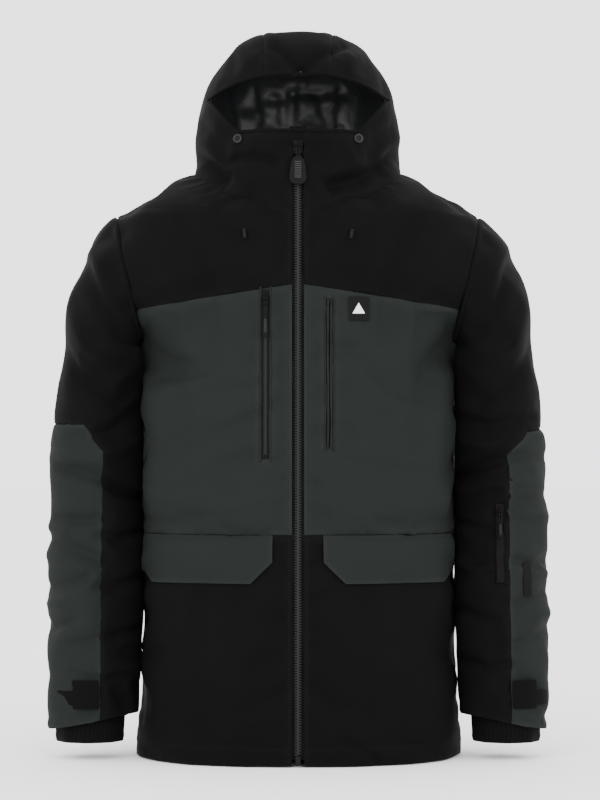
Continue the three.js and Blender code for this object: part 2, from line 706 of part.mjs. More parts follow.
const mainSliderZ = alongZip(zipTop - 9);
const mainLug = { inner: 2.6, outer: 4.2, height: 4.4, half: 2.6 };
const mainSlider = add("main_slider", sliderSolid(5.9, 18, 2.5, 2.6, mainLug), darkMetal, mainZip);
mainSlider.position.z = mainSliderZ;
const mainPull = add(
  "main_pull",
  pullSolid({ neck: 2.1, neckLength: 14, grip: 11, gripLength: 38, thickness: 3, pivotRadius: 1.9 }),
  mouldedPlastic,
  mainZip,
);
mainPull.position.set(0, -5.2, mainSliderZ);

// The coarse chest zip and the coated one, each in a slot of its chest panel.
const chestDepthAt = (x, z) =>
  sideSeamY - frontDepth(z) * (1 - (Math.abs(x) / bodyHalfWidth) ** bodySection) ** (1 / bodySection);
function pocketZip(spec, gap) {
  const middle = (spec.low + spec.high) / 2;
  const group = zipGroup(spec.x, chestDepthAt(spec.x, middle) + 1, middle, lean);
  const half = (spec.high - spec.low) / 2 - gap;
  return { group, half };
}
const coarse = pocketZip(chestZip.right, 1.5);
const coarseHalf = chestZip.right.width / 2;
add(
  "chest_zip_tape",
  box(-coarseHalf, coarseHalf, 1.4, 2.6, -coarse.half, coarse.half).add(
    box(-2, 2, 0.2, 1.6, -coarse.half + 3, coarse.half - 3),
  ),
  zipTape,
  coarse.group,
);
const chestSliderZ = coarse.half - 12;
const chestSlider = add(
  "chest_slider",
  sliderSolid(4.4, 13, 1, 2.4, { inner: 2, outer: 3.4, height: 3.6, half: 2.2 }),
  darkMetal,
  coarse.group,
);
chestSlider.position.set(0, -0.4, chestSliderZ);
const chestPull = add(
  "chest_pull",
  pullSolid({ neck: 1.5, neckLength: 20, grip: 4.6, gripLength: 28, thickness: 3, pivotRadius: 1.6 }),
  mouldedPlastic,
  coarse.group,
);
chestPull.position.set(0, -5, chestSliderZ);

const coated = pocketZip(chestZip.left, 1.5);
const coatedHalf = chestZip.left.width / 2;
const coatedStrip = box(-coatedHalf, coatedHalf, 0.6, 2.4, -coated.half, coated.half);
add("coated_zip", coatedStrip, coatedTape, coated.group);

// The pass pocket on the left forearm.
const passMiddle = (passZip.low + passZip.high) / 2;
const forearmFront = (z) => sleeveLine.middleY(z) - sleeveLine.depth(z);
const passRun = forearmFront(passZip.high) - forearmFront(passZip.low);
const passLean = Math.atan2(passRun, passZip.high - passZip.low);
const passGroup = zipGroup(passZip.x, forearmFront(passMiddle) + 1.4, passMiddle, passLean);
const passHalf = (passZip.high - passZip.low) / 2 - 1;
add(
  "sleeve_zip_tape",
  box(-passZip.width / 2, passZip.width / 2, 1.4, 2.4, -passHalf, passHalf).add(
    box(-1.6, 1.6, 0.2, 1.6, -passHalf + 3, passHalf - 3),
  ),
  zipTape,
  passGroup,
);
const passSliderZ = passHalf - 10;
const passSlider = add(
  "sleeve_slider",
  sliderSolid(3.8, 11, 1, 2.2, { inner: 1.8, outer: 3, height: 3.2, half: 2 }),
  darkMetal,
  passGroup,
);
passSlider.position.set(0, -0.4, passSliderZ);
const passPull = add(
  "sleeve_pull",
  pullSolid({ neck: 1.3, neckLength: 15, grip: 3.8, gripLength: 20, thickness: 2.6, pivotRadius: 1.4 }),
  mouldedPlastic,
  passGroup,
);
passPull.position.set(0, -4.4, passSliderZ);

// ---------------------------------------------------------------- trims
const inward = new THREE.Vector3(0, 1, 0);
const outOfCloth = 12;
const clothOf = (...names) => names.map((name) => solids.get(name));
// A pose on the cloth in the front view: turned to the slope of the cloth, and well in front of it.
function poseOn(depthAt, x, z, reach) {
  const pose = new THREE.Object3D();
  const turn = Math.atan((depthAt(x + reach, z) - depthAt(x - reach, z)) / (2 * reach));
  const tilt = Math.atan((depthAt(x, z + reach) - depthAt(x, z - reach)) / (2 * reach));
  pose.rotation.set(-tilt, 0, turn, "ZXY");
  const out = inward.clone().applyEuler(pose.rotation);
  pose.position.set(x, depthAt(x, z), z).addScaledVector(out, -outOfCloth);
  return { pose, out };
}

const badge = { x: 79, z: 591, width: 26, height: 30, thickness: 1.4 };
const onChest = poseOn(chestDepthAt, badge.x, badge.z, badge.width / 2);
const badgeHalf = { x: badge.width / 2, z: badge.height / 2 };
const badgeSolid = box(-badgeHalf.x, badgeHalf.x, -badge.thickness, 0, -badgeHalf.z, badgeHalf.z);
const badgeCloth = clothOf("chest_panel_left", "yoke_front_left");
add("chest_badge", restOn(placed(badgeSolid, onChest.pose), badgeCloth, onChest.out), patchRubber);

const sleeveLabel = { x: 302, z: 238, width: 11, height: 44, thickness: 1.1 };
const sleeveDepthAt = (x, z) => {
  const half = (sleeveLine.outer(z) - sleeveLine.inner(z)) / 2;
  const middle = (sleeveLine.outer(z) + sleeveLine.inner(z)) / 2;
  return sleeveLine.middleY(z) - sleeveLine.depth(z) * Math.sqrt(1 - ((x - middle) / half) ** 2);
};
const onSleeve = poseOn(sleeveDepthAt, sleeveLabel.x, sleeveLabel.z, sleeveLabel.width / 2);
const labelSolid = box(
  -sleeveLabel.width / 2,
  sleeveLabel.width / 2,
  -sleeveLabel.thickness,
  0,
  -sleeveLabel.height / 2,
  sleeveLabel.height / 2,
);
const labelCloth = clothOf("forearm_outer_left");
add("sleeve_label", restOn(placed(labelSolid, onSleeve.pose), labelCloth, onSleeve.out), patchRubber);

// Eyelets of the hood cord at the top corners of the collar, and the cord ends below the neck seam.
const eyelet = { x: 80, z: 812, outer: 6.5, inner: 3.2, thickness: 1.6 };
const collarDepthAt = (x, z) =>
  hoodMiddleY - hoodFace(z) * (1 - (Math.abs(x) / hoodHalf(z)) ** 2.15) ** (1 / 2.15);
const onCollar = poseOn(collarDepthAt, eyelet.x, eyelet.z, eyelet.outer);
const ringShape = new THREE.Shape().absarc(0, 0, eyelet.outer, 0, 2 * Math.PI);
ringShape.holes.push(new THREE.Path().absarc(0, 0, eyelet.inner, 0, 2 * Math.PI));
const eyeletRing = placed(frontCut(ringShape, -eyelet.thickness, 0), onCollar.pose);

const cordEnd = { x: 69, z: 690, radius: 2.6, length: 13 };
const toggle = new THREE.CapsuleGeometry(cordEnd.radius, cordEnd.length - 2 * cordEnd.radius, 3, 10);
const toggleY = chestDepthAt(cordEnd.x, cordEnd.z) - outOfCloth;
const toggleSolid = solidOf(toggle.rotateX(Math.PI / 2).translate(cordEnd.x, toggleY, cordEnd.z));
for (const [name, side] of sides) {
  const collar = mirrored(solids.get(`collar_${name}`), side);
  const yoke = mirrored(solids.get(`yoke_front_${name}`), side);
  add(`eyelet_${name}`, mirrored(restOn(eyeletRing, [collar], onCollar.out), side), darkMetal);
  add(`cord_end_${name}`, mirrored(restOn(toggleSolid, [yoke], inward), side), mouldedPlastic);
}

// Hanger loop: a bowed strap across the inside of the back neck, its ends at the lining.
const loop = { z: 768, height: 9, halfWidth: 32, bow: 11, thickness: 1.2, foot: 7 };
const loopShape = new THREE.Shape();
const strap = (x, offset) => -offset - loop.bow * Math.max(0, 1 - (x / (loop.halfWidth - loop.foot)) ** 2);
const strapSteps = 12;
for (let k = 0; k <= strapSteps; k++) {
  const x = loop.halfWidth * (-1 + (2 * k) / strapSteps);
  if (k === 0) loopShape.moveTo(x, strap(x, 0));
  else loopShape.lineTo(x, strap(x, 0));
}
for (let k = strapSteps; k >= 0; k--) {
  const x = loop.halfWidth * (-1 + (2 * k) / strapSteps);
  loopShape.lineTo(x, strap(x, loop.thickness));
}
const loopGeometry = new THREE.ExtrudeGeometry(loopShape, { depth: loop.height, bevelEnabled: false });
const loopPlace = [0, hoodMiddleY + hoodRear(loop.z) - 30, loop.z - loop.height / 2];
const loopStock = solidOf(loopGeometry.translate(...loopPlace));
const loopSolid = restOn(loopStock, clothOf("collar_lining"), inward);
add("hanger_loop", loopSolid, blackShell);

// The origin is the middle of the gap between the loop and the neck.
const originY = loopSolid.boundingBox().max[1] - loop.bow / 2;
jacket.position.set(0, -originY, -loop.z);
const part = new THREE.Group();
part.add(jacket);
export default part;
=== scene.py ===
import math

import bmesh
import bpy
import numpy as np
from mathutils import Matrix, Vector
from mathutils.bvhtree import BVHTree
from mathutils.kdtree import KDTree


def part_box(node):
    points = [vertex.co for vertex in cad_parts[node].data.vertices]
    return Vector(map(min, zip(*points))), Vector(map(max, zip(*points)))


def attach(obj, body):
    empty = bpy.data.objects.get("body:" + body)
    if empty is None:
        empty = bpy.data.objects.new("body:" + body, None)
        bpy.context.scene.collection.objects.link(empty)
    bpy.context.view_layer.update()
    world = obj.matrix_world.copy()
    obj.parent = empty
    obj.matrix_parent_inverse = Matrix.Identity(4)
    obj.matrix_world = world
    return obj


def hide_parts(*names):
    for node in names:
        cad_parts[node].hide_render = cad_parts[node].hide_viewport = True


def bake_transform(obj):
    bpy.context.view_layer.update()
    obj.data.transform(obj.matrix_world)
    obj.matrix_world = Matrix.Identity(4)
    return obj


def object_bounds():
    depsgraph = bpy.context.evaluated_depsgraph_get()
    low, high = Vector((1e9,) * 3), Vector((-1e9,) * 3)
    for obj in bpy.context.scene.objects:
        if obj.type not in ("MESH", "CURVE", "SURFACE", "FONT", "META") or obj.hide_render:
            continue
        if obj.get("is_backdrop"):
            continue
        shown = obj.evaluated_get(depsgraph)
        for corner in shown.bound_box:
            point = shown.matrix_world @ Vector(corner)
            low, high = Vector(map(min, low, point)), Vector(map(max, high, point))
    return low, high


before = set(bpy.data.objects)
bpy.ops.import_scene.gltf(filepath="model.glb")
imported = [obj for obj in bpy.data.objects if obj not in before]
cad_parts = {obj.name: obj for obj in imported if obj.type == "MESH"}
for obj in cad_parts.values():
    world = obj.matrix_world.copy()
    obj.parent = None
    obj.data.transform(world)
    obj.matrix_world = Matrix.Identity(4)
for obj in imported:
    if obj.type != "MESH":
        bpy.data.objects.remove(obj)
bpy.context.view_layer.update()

# Lengths below are in millimetres, with heights counted from the hem; place() turns them into the frame.
origin = np.array([0.0, 88.96, 768.0])
sideSeamY = 5.0


def place(points):
    return (np.asarray(points, float) - origin) * 0.001


def smoothstep(x, low, high):
    t = np.clip((np.asarray(x, float) - low) / (high - low), 0, 1)
    return t * t * (3 - 2 * t)


def spline(*pairs):
    # a smooth line through (at, value) pairs
    xs = np.array([p[0] for p in pairs], float)
    ys = np.array([p[1] for p in pairs], float)
    slope = np.gradient(ys, xs, axis=0)

    def at(x):
        x = np.clip(np.asarray(x, float), xs[0], xs[-1])
        k = np.clip(np.searchsorted(xs, x, side="right") - 1, 0, len(xs) - 2)
        h = xs[k + 1] - xs[k]
        t = (x - xs[k]) / h
        a = (1 + 2 * t) * (1 - t) ** 2 * ys[k] + t * t * (3 - 2 * t) * ys[k + 1]
        return a + h * t * (1 - t) ** 2 * slope[k] - h * t * t * (1 - t) * slope[k + 1]

    return at


def ripple(points, size, seed):
    # soft uneven waves, the same on every run
    rng = np.random.default_rng(seed)
    total = np.zeros(len(points))
    for k in range(14):
        way = rng.normal(size=3)
        way /= np.linalg.norm(way)
        wave = 2 * math.pi / (size * rng.uniform(0.7, 1.7))
        total += np.sin(points @ way * wave + rng.uniform(0, 6.28)) / 3.7
    return total


# shape of the jacket
body = {"half": 208.0, "flare": 8.0, "underarm": 547.0, "armhole": 175.0, "lean": 35.0, "slope": 0.52,
        "hemDepth": 170.0, "frontLean": 0.069, "neck": 722.0, "round": 2.4}
underarmX = body["half"] + 2
tipX = underarmX + body["lean"]
tipHeight = body["underarm"] + body["armhole"]
armholeRadius = math.hypot(body["lean"], body["armhole"]) / 2
armholeCentre = np.array([underarmX + body["lean"] / 2, sideSeamY, body["underarm"] + body["armhole"] / 2])
armholeUp = np.array([body["lean"], 0, body["armhole"]]) / (2 * armholeRadius)
backLine = spline((-20, 130), (301, 121), (547, 133), (652, 124), (722, 104), (755, 87), (785, 60))


def frontLine(z):
    return body["hemDepth"] - body["frontLean"] * z


def bodyWidth(z, inset):
    flare = body["flare"] * max(0, 1 - z / 250) ** 2
    side = body["half"] + flare + 2 * float(smoothstep(z, body["underarm"] - 100, body["underarm"]))
    armhole = underarmX + (z - body["underarm"]) * body["lean"] / body["armhole"]
    slope = tipX - (z + inset * 1.13 - tipHeight) / body["slope"]
    return min((armhole if z > body["underarm"] else side) - inset, slope)


def bodyHalf(z, inset, front, columns):
    # half a horizontal ring, from the right side to the left, evenly spaced along the cloth
    width = bodyWidth(z, inset)
    along = (z - armholeCentre[2]) / armholeUp[2]
    edge = 0.0
    if z > body["underarm"]:
        edge = math.sqrt(max(0, (armholeRadius - inset) ** 2 - along ** 2))
    power = 1 / body["round"] + 0.43 * float(smoothstep(z, 450, 600)) - 0.3 * float(smoothstep(z, 690, 735))
    s = -np.cos(np.linspace(0, math.pi, 600))
    crown = np.maximum(0, 1 - np.abs(s) ** body["round"]) ** power
    depth = (frontLine(z) - 0.8 * max(0, z - body["neck"]) if front else float(backLine(z))) - inset
    y = sideSeamY + (-1 if front else 1) * (edge + (depth - edge) * crown)
    line = np.stack([s * width, y, np.full_like(s, z)], 1)
    length = np.concatenate([[0], np.cumsum(np.linalg.norm(np.diff(line, axis=0), axis=1))])
    spots = np.linspace(0, length[-1], columns)
    ring = np.stack([np.interp(spots, length, line[:, k]) for k in range(3)], 1)
    return ring, spots - length[-1] / 2


hood = {"half": 137.5, "widest": 800.0, "top": 975.0, "collarTop": 826.0, "back": 116.0, "middleY": 8.0,
        "pivotZ": 790.0, "crownZ": 850.0, "round": 2.15}


def hoodHalf(z):
    if z > hood["widest"]:
        up = (z - hood["widest"]) / (hood["top"] - hood["widest"])
        return hood["half"] * max(0, 1 - up ** 2.3) ** 0.45
    drop = (hood["widest"] - z) / (hood["widest"] - body["neck"])
    return hood["half"] - 12 * drop ** 1.5 if z > body["neck"] else hood["half"] - 12


def hoodFace(z):
    deep = frontLine(min(z, hood["collarTop"])) - sideSeamY + hood["middleY"]
    up = (z - hood["collarTop"]) / (hood["top"] - hood["collarTop"])
    return deep * max(0, 1 - up ** 4) ** 0.45 if up > 0 else deep


def hoodRear(z):
    if z > hood["crownZ"]:
        up = (z - hood["crownZ"]) / (hood["top"] - hood["crownZ"])
        return hood["back"] * max(0, 1 - up ** 2.6) ** 0.5
    drop = (hood["crownZ"] - z) / (hood["crownZ"] - body["neck"])
    return hood["back"] - 34 * drop ** 1.2


def hoodRing(z, inset, columns):
    tall = hood["top"] - body["neck"]
    lift = body["neck"] + (z - body["neck"]) * tall / (tall - inset)
    a = np.linspace(0, 2 * math.pi, columns, endpoint=False) + math.pi
    across = np.sign(np.sin(a)) * np.abs(np.sin(a)) ** (2 / hood["round"])
    along = np.sign(np.cos(a)) * np.abs(np.cos(a)) ** (2 / hood["round"])
    deep = np.where(along > 0, max(1.5, hoodFace(lift) - inset), max(1.5, hoodRear(lift) - inset))
    x = across * max(1.5, hoodHalf(lift) - inset)
    return np.stack([x, hood["middleY"] - along * deep, np.full_like(x, z)], 1)


hoodPivotY = hood["middleY"] + hoodRear(hood["pivotZ"])
collarTopY = sideSeamY - frontLine(hood["collarTop"])
hoodPlaneUp = np.array([0, hood["collarTop"] - hood["pivotZ"], hoodPivotY - collarTopY])
hoodPlaneUp = hoodPlaneUp / np.linalg.norm(hoodPlaneUp)


def overHoodPlane(points):
    return (points - np.array([0, hoodPivotY, hood["pivotZ"]])) @ hoodPlaneUp


armHeights = (513, 479, 445, 395, 345, 290, 200, 110, 0)


def sleeveKeys():
    # each key of the sleeve: inner x, inner z, outer x, outer z, depth, middle y
    low = armholeCentre - armholeUp * armholeRadius
    high = armholeCentre + armholeUp * armholeRadius
    keys = [[low[0] + 0.3, low[2], high[0] + 0.3, high[2], armholeRadius, sideSeamY]]
    for ix, iz, ox, oz, deep in ((0.8, -7, 70, 136, 88), (1.2, -15, 93, 82, 86), (1.5, -24, 102, 33, 84)):
        keys.append([210 + ix, 547 + iz, 210 + ox, 547 + oz, deep, 6])
    inner = spline((0, 222.5), (110, 219.5), (200, 212.5), (300, 210.5), (513, 211.5))
    outer = spline((0, 331.5), (200, 335.5), (320, 334.5), (425, 332.5), (513, 319.5))
    deep = spline((0, 53), (110, 57), (200, 64), (395, 76), (513, 81))
    middle = spline((0, -43), (110, -31), (200, -12), (345, 20), (395, 24), (445, 24), (513, 18))
    for z in armHeights:
        keys.append([float(inner(z)), z, float(outer(z)), z, float(deep(z)), float(middle(z))])
    keys = np.array(keys)
    mid = (keys[:, [0, 1]] + keys[:, [2, 3]]) / 2
    reach = np.concatenate([[0], np.cumsum(np.linalg.norm(np.diff(mid, axis=0), axis=1))])
    return reach, spline(*zip(reach, keys))


def sleeveAt(line, v, inset, columns):
    # line(v) for an array of v gives the key values; the seam column runs up the inner side
    k = np.array([[float(c) for c in line(x)] for x in v])
    a = np.linspace(0, 2 * math.pi, columns, endpoint=False)
    rings = []
    for ix, iz, ox, oz, deep, middle in k:
        half = math.hypot(ox - ix, oz - iz) / 2
        ux, uz = (ox - ix) / (2 * half), (oz - iz) / (2 * half)
        reach = -(half - inset) * np.cos(a)
        y = middle - (deep - inset) * np.sin(a)
        rings.append(np.stack([(ix + ox) / 2 + ux * reach, y, (iz + oz) / 2 + uz * reach], 1))
    return np.array(rings)


# mesh tools
def gridPiece(name, points, closed=False, uv=None):
    # a sheet of quads from rows of points; closed joins each row's end to its start
    rows, columns = points.shape[:2]
    faces, corners = [], []
    for r in range(rows - 1):
        for c in range(columns if closed else columns - 1):
            d = (c + 1) % columns
            faces.append((r * columns + c, r * columns + d, (r + 1) * columns + d, (r + 1) * columns + c))
            if uv is not None:
                right = uv[:, -1] + (uv[:, 1] - uv[:, 0]) if closed and d == 0 else uv[:, d]
                corners += [uv[r, c], right[r], right[r + 1], uv[r + 1, c]]
    mesh = bpy.data.meshes.new(name)
    mesh.from_pydata(points.reshape(-1, 3).tolist(), [], faces)
    if uv is not None:
        layer = mesh.uv_layers.new(name="cloth")
        layer.data.foreach_set("uv", np.array(corners, np.float32).ravel() * 0.001)
    piece = bpy.data.objects.new(name, mesh)
    bpy.context.scene.collection.objects.link(piece)
    return piece


def readPoints(piece):
    p = np.zeros(len(piece.data.vertices) * 3)
    piece.data.vertices.foreach_get("co", p)
    return p.reshape(-1, 3)


def writePoints(piece, points):
    piece.data.vertices.foreach_set("co", np.ascontiguousarray(points, float).ravel())
    piece.data.update()


def readNormals(piece):
    n = np.zeros(len(piece.data.vertices) * 3)
    piece.data.vertices.foreach_get("normal", n)
    return n.reshape(-1, 3)


def merge(piece, gap):
    b = bmesh.new()
    b.from_mesh(piece.data)
    bmesh.ops.remove_doubles(b, verts=b.verts, dist=gap)
    b.to_mesh(piece.data)
    b.free()


def cut(b, point, normal, where):
    # a straight cut through the faces that pass the test
    faces = [f for f in b.faces if where(f.calc_center_median())]
    edges = {e for f in faces for e in f.edges}
    verts = {v for f in faces for v in f.verts}
    bmesh.ops.bisect_plane(b, geom=faces + list(edges) + list(verts), dist=0.02,
                           plane_co=Vector(point), plane_no=Vector(normal).normalized())


def fold(points, normals, line, deep, wide, facing):
    # a crease along a given line in the front view; deep below 0 sinks, above 0 raises;
    # facing is -1 for the front cloth and 1 for the back
    amount = np.zeros(len(points))
    line = np.array(line, float)
    for a, b in zip(line[:-1], line[1:]):
        way = b - a
        long = np.linalg.norm(way)
        p = points[:, [0, 2]] - a
        t = np.clip(p @ way / long ** 2, 0, 1)
        away = np.linalg.norm(p - t[:, None] * way, axis=1)
        amount = np.maximum(amount, np.exp(-(away / wide) ** 2))
    amount = amount * np.clip(facing * normals[:, 1] * 1.6 + 0.3, 0, 1)
    return points + normals * (deep * amount)[:, None]


solver = {"quality": 5, "mass": 0.15, "stiff": 15, "shear": 5}


def drape(piece, pinned, look):
    # cloth simulation that swells and wrinkles the panels between their pinned seams
    start = readPoints(piece)
    piece.data.transform(Matrix.Scale(0.001, 4))
    group = piece.vertex_groups.new(name="sewn")
    for k, weight in enumerate(pinned):
        if weight > 0:
            group.add([k], float(weight), "REPLACE")
    cloth = piece.modifiers.new("cloth", "CLOTH")
    s = cloth.settings
    s.quality = solver["quality"]
    s.mass = solver["mass"]
    s.tension_stiffness = s.compression_stiffness = solver["stiff"]
    s.shear_stiffness = solver["shear"]
    s.bending_stiffness = look["bend"]
    s.shrink_min = -look["slack"]
    s.use_pressure = True
    s.uniform_pressure_force = look["pressure"]
    s.vertex_group_mass = "sewn"
    s.effector_weights.gravity = 0
    cloth.collision_settings.use_collision = False
    cloth.collision_settings.use_self_collision = False
    cloth.point_cache.frame_start = 1
    cloth.point_cache.frame_end = look["frames"]
    for k in range(1, look["frames"] + 1):
        bpy.context.scene.frame_set(k)
    shown = piece.evaluated_get(bpy.context.evaluated_depsgraph_get())
    made = np.zeros(len(start) * 3)
    shown.data.vertices.foreach_get("co", made)
    piece.modifiers.remove(cloth)
    piece.vertex_groups.remove(group)
    bpy.context.scene.frame_set(1)
    made = made.reshape(-1, 3) * 1000
    move = made - start
    size = np.linalg.norm(move, axis=1)
    cap = look["cap"]
    move *= (cap * np.tanh(size / cap) / np.maximum(size, 1e-6))[:, None]
    piece.data.transform(Matrix.Scale(1000, 4))
    writePoints(piece, start + move)
    print("draped", piece.name, len(start), "points, moved up to", round(float(size.max()), 1), "mm")


def alone(piece):
    for o in bpy.context.selected_objects:
        o.select_set(False)
    piece.select_set(True)
    bpy.context.view_layer.objects.active = piece


def finish(piece, thick=0.0, levels=1, offset=-1):
    # the cloth's thickness and a finer mesh, applied, then moved into the frame
    alone(piece)
    if thick:
        m = piece.modifiers.new("thickness", "SOLIDIFY")
        m.thickness = thick
        m.offset = offset
        m.use_quality_normals = True
        m.edge_crease_outer = m.edge_crease_inner = m.edge_crease_rim = 0.75
        bpy.ops.object.modifier_apply(modifier=m.name)
    if levels:
        m = piece.modifiers.new("finer", "SUBSURF")
        m.levels = m.render_levels = levels
        bpy.ops.object.modifier_apply(modifier=m.name)
    writePoints(piece, place(readPoints(piece)))
    bpy.ops.object.shade_smooth_by_angle(angle=math.radians(60))


def underlay(piece, name, deep):
    # the padding's backing: one black layer just under the panels, seen only down in their seams
    copy = bpy.data.objects.new(name, piece.data.copy())
    copy.data.name = name
    bpy.context.scene.collection.objects.link(copy)
    points = readPoints(copy) - readNormals(copy) * deep
    writePoints(copy, place(points))
    alone(copy)
    bpy.ops.object.shade_smooth()
    coat(copy, blackShell)
    return copy


def split(piece, names, parts):
    # one object for each panel; parts gives each face the number of its panel
    pieces = {}
    for k, name in enumerate(names):
        copy = bpy.data.objects.new(name, piece.data.copy())
        copy.data.name = name
        bpy.context.scene.collection.objects.link(copy)
        b = bmesh.new()
        b.from_mesh(copy.data)
        gone = [f for f in b.faces if parts[f.index] != k]
        bmesh.ops.delete(b, geom=gone, context="FACES")
        b.to_mesh(copy.data)
        b.free()
        pieces[name] = copy
    bpy.data.objects.remove(piece)
    return pieces


# materials
def linear(hexColour):
    c = [int(hexColour[k:k + 2], 16) / 255 for k in (1, 3, 5)]
    return [x / 12.92 if x <= 0.04045 else ((x + 0.055) / 1.055) ** 2.4 for x in c] + [1.0]


def node(tree, kind, links=None, **settings):
    # adds a node, sets its values or input sockets, and links the sockets given
    n = tree.nodes.new(kind)
    for key, value in settings.items():
        if key in n.inputs:
            n.inputs[key].default_value = value
        else:
            setattr(n, key, value)
    for socket, source in (links or {}).items():
        tree.links.new(source, n.inputs[socket])
    return n


def newMaterial(name):
    made = bpy.data.materials.new(name)
    made.use_nodes = True
    made.node_tree.nodes.clear()
    return made, made.node_tree


def closeMaterial(tree, shader):
    node(tree, "ShaderNodeOutputMaterial", {"Surface": shader.outputs[0]})


def wovenShell(name, colour, light, spacing=1.5):
    # matt woven polyester with a water-repellent finish: dark, dry, a faint bloom at grazing angles
    made, t = newMaterial(name)
    uv = node(t, "ShaderNodeUVMap", uv_map="cloth")
    # real threads are 0.2 mm apart; drawn coarser so that the weave shows
    threads = 1000 / spacing / 3.14 / 2
    warp = node(t, "ShaderNodeTexWave", {"Vector": uv.outputs[0]}, Scale=threads, Distortion=0.6,
                bands_direction="X")
    weft = node(t, "ShaderNodeTexWave", {"Vector": uv.outputs[0]}, Scale=threads, Distortion=0.6,
                bands_direction="Y")
    weave = node(t, "ShaderNodeMath", {0: warp.outputs["Fac"], 1: weft.outputs["Fac"]}, operation="MULTIPLY")
    cloud = node(t, "ShaderNodeTexNoise", {"Vector": uv.outputs[0]}, Scale=9.0, Detail=5.0, Roughness=0.6)
    fuzz = node(t, "ShaderNodeTexNoise", {"Vector": uv.outputs[0]}, Scale=900.0, Detail=2.0)
    shade = node(t, "ShaderNodeMapRange", {"Value": cloud.outputs["Fac"]},
                 **{"From Min": 0.3, "From Max": 0.7})
    seam = node(t, "ShaderNodeAttribute", attribute_name="seam")
    worn = node(t, "ShaderNodeMath", {0: seam.outputs["Fac"], 1: fuzz.outputs["Fac"]}, operation="MULTIPLY")
    tone = node(t, "ShaderNodeMath", {0: shade.outputs[0], 1: worn.outputs[0]}, operation="MULTIPLY_ADD")
    tone.inputs[1].default_value = 0.55
    t.links.new(worn.outputs[0], tone.inputs[2])
    mixed = node(t, "ShaderNodeMix", {"Factor": tone.outputs[0]}, data_type="RGBA", clamp_factor=True)
    mixed.inputs["A"].default_value = linear(colour)
    mixed.inputs["B"].default_value = linear(light)
    rough = node(t, "ShaderNodeMapRange", {"Value": cloud.outputs["Fac"]}, **{"To Min": 0.74, "To Max": 0.9})
    fine = node(t, "ShaderNodeBump", {"Height": weave.outputs[0]}, Strength=0.35, Distance=0.0003)
    crush = node(t, "ShaderNodeTexNoise", {"Vector": uv.outputs[0]}, Scale=55.0, Detail=4.0, Distortion=0.8)
    soft = node(t, "ShaderNodeBump", {"Height": crush.outputs["Fac"], "Normal": fine.outputs[0]},
                Strength=0.32, Distance=0.0012)
    shader = node(t, "ShaderNodeBsdfPrincipled",
                  {"Base Color": mixed.outputs["Result"], "Roughness": rough.outputs[0],
                   "Normal": soft.outputs[0]})
    shader.inputs["Specular IOR Level"].default_value = 0.055
    shader.inputs["Sheen Weight"].default_value = 0.004
    shader.inputs["Sheen Roughness"].default_value = 0.5
    closeMaterial(t, shader)
    return made


def taffeta(name, colour, light):
    # smooth nylon lining: close weave, pressed flat, with a soft silky gloss
    made, t = newMaterial(name)
    where = node(t, "ShaderNodeTexCoord")
    crush = node(t, "ShaderNodeTexNoise", {"Vector": where.outputs["Object"]}, Scale=70.0, Detail=5.0,
                 Distortion=1.2)
    wide = node(t, "ShaderNodeTexNoise", {"Vector": where.outputs["Object"]}, Scale=14.0, Detail=3.0)
    mixed = node(t, "ShaderNodeMix", {"Factor": wide.outputs["Fac"]}, data_type="RGBA")
    mixed.inputs["A"].default_value = linear(colour)
    mixed.inputs["B"].default_value = linear(light)
    bump = node(t, "ShaderNodeBump", {"Height": crush.outputs["Fac"]}, Strength=0.5, Distance=0.0015)
    rough = node(t, "ShaderNodeMapRange", {"Value": crush.outputs["Fac"]}, **{"To Min": 0.36, "To Max": 0.52})
    shader = node(t, "ShaderNodeBsdfPrincipled",
                  {"Base Color": mixed.outputs["Result"], "Normal": bump.outputs[0],
                   "Roughness": rough.outputs[0]})
    shader.inputs["Specular IOR Level"].default_value = 0.42
    closeMaterial(t, shader)
    return made


def ribKnit(name, colour, light, spacing=3.0):
    # stretch rib knit: soft round ribs up the cuff
    made, t = newMaterial(name)
    uv = node(t, "ShaderNodeUVMap", uv_map="cloth")
    ribs = node(t, "ShaderNodeTexWave", {"Vector": uv.outputs[0]}, Scale=1000 / spacing / 3.14 / 2,
                bands_direction="X")
    loops = node(t, "ShaderNodeTexWave", {"Vector": uv.outputs[0]}, Scale=1000 / 1.5 / 3.14 / 2,
                 bands_direction="Y")
    # the colour follows the ribs: painted shade, darker in the grooves between the ribs and lighter on their
    # crests
    mixed = node(t, "ShaderNodeMix", {"Factor": ribs.outputs["Fac"]}, data_type="RGBA")
    mixed.inputs["A"].default_value = linear(colour)
    mixed.inputs["B"].default_value = linear(light)
    a = node(t, "ShaderNodeBump", {"Height": ribs.outputs["Fac"]}, Strength=0.35, Distance=0.0008)
    b = node(t, "ShaderNodeBump", {"Height": loops.outputs["Fac"], "Normal": a.outputs[0]}, Strength=0.3,
             Distance=0.0004)
    shader = node(t, "ShaderNodeBsdfPrincipled",
                  {"Base Color": mixed.outputs["Result"], "Normal": b.outputs[0]})
    shader.inputs["Roughness"].default_value = 0.9
    shader.inputs["Specular IOR Level"].default_value = 0.07
    shader.inputs["Sheen Weight"].default_value = 0.01
    closeMaterial(t, shader)
    return made


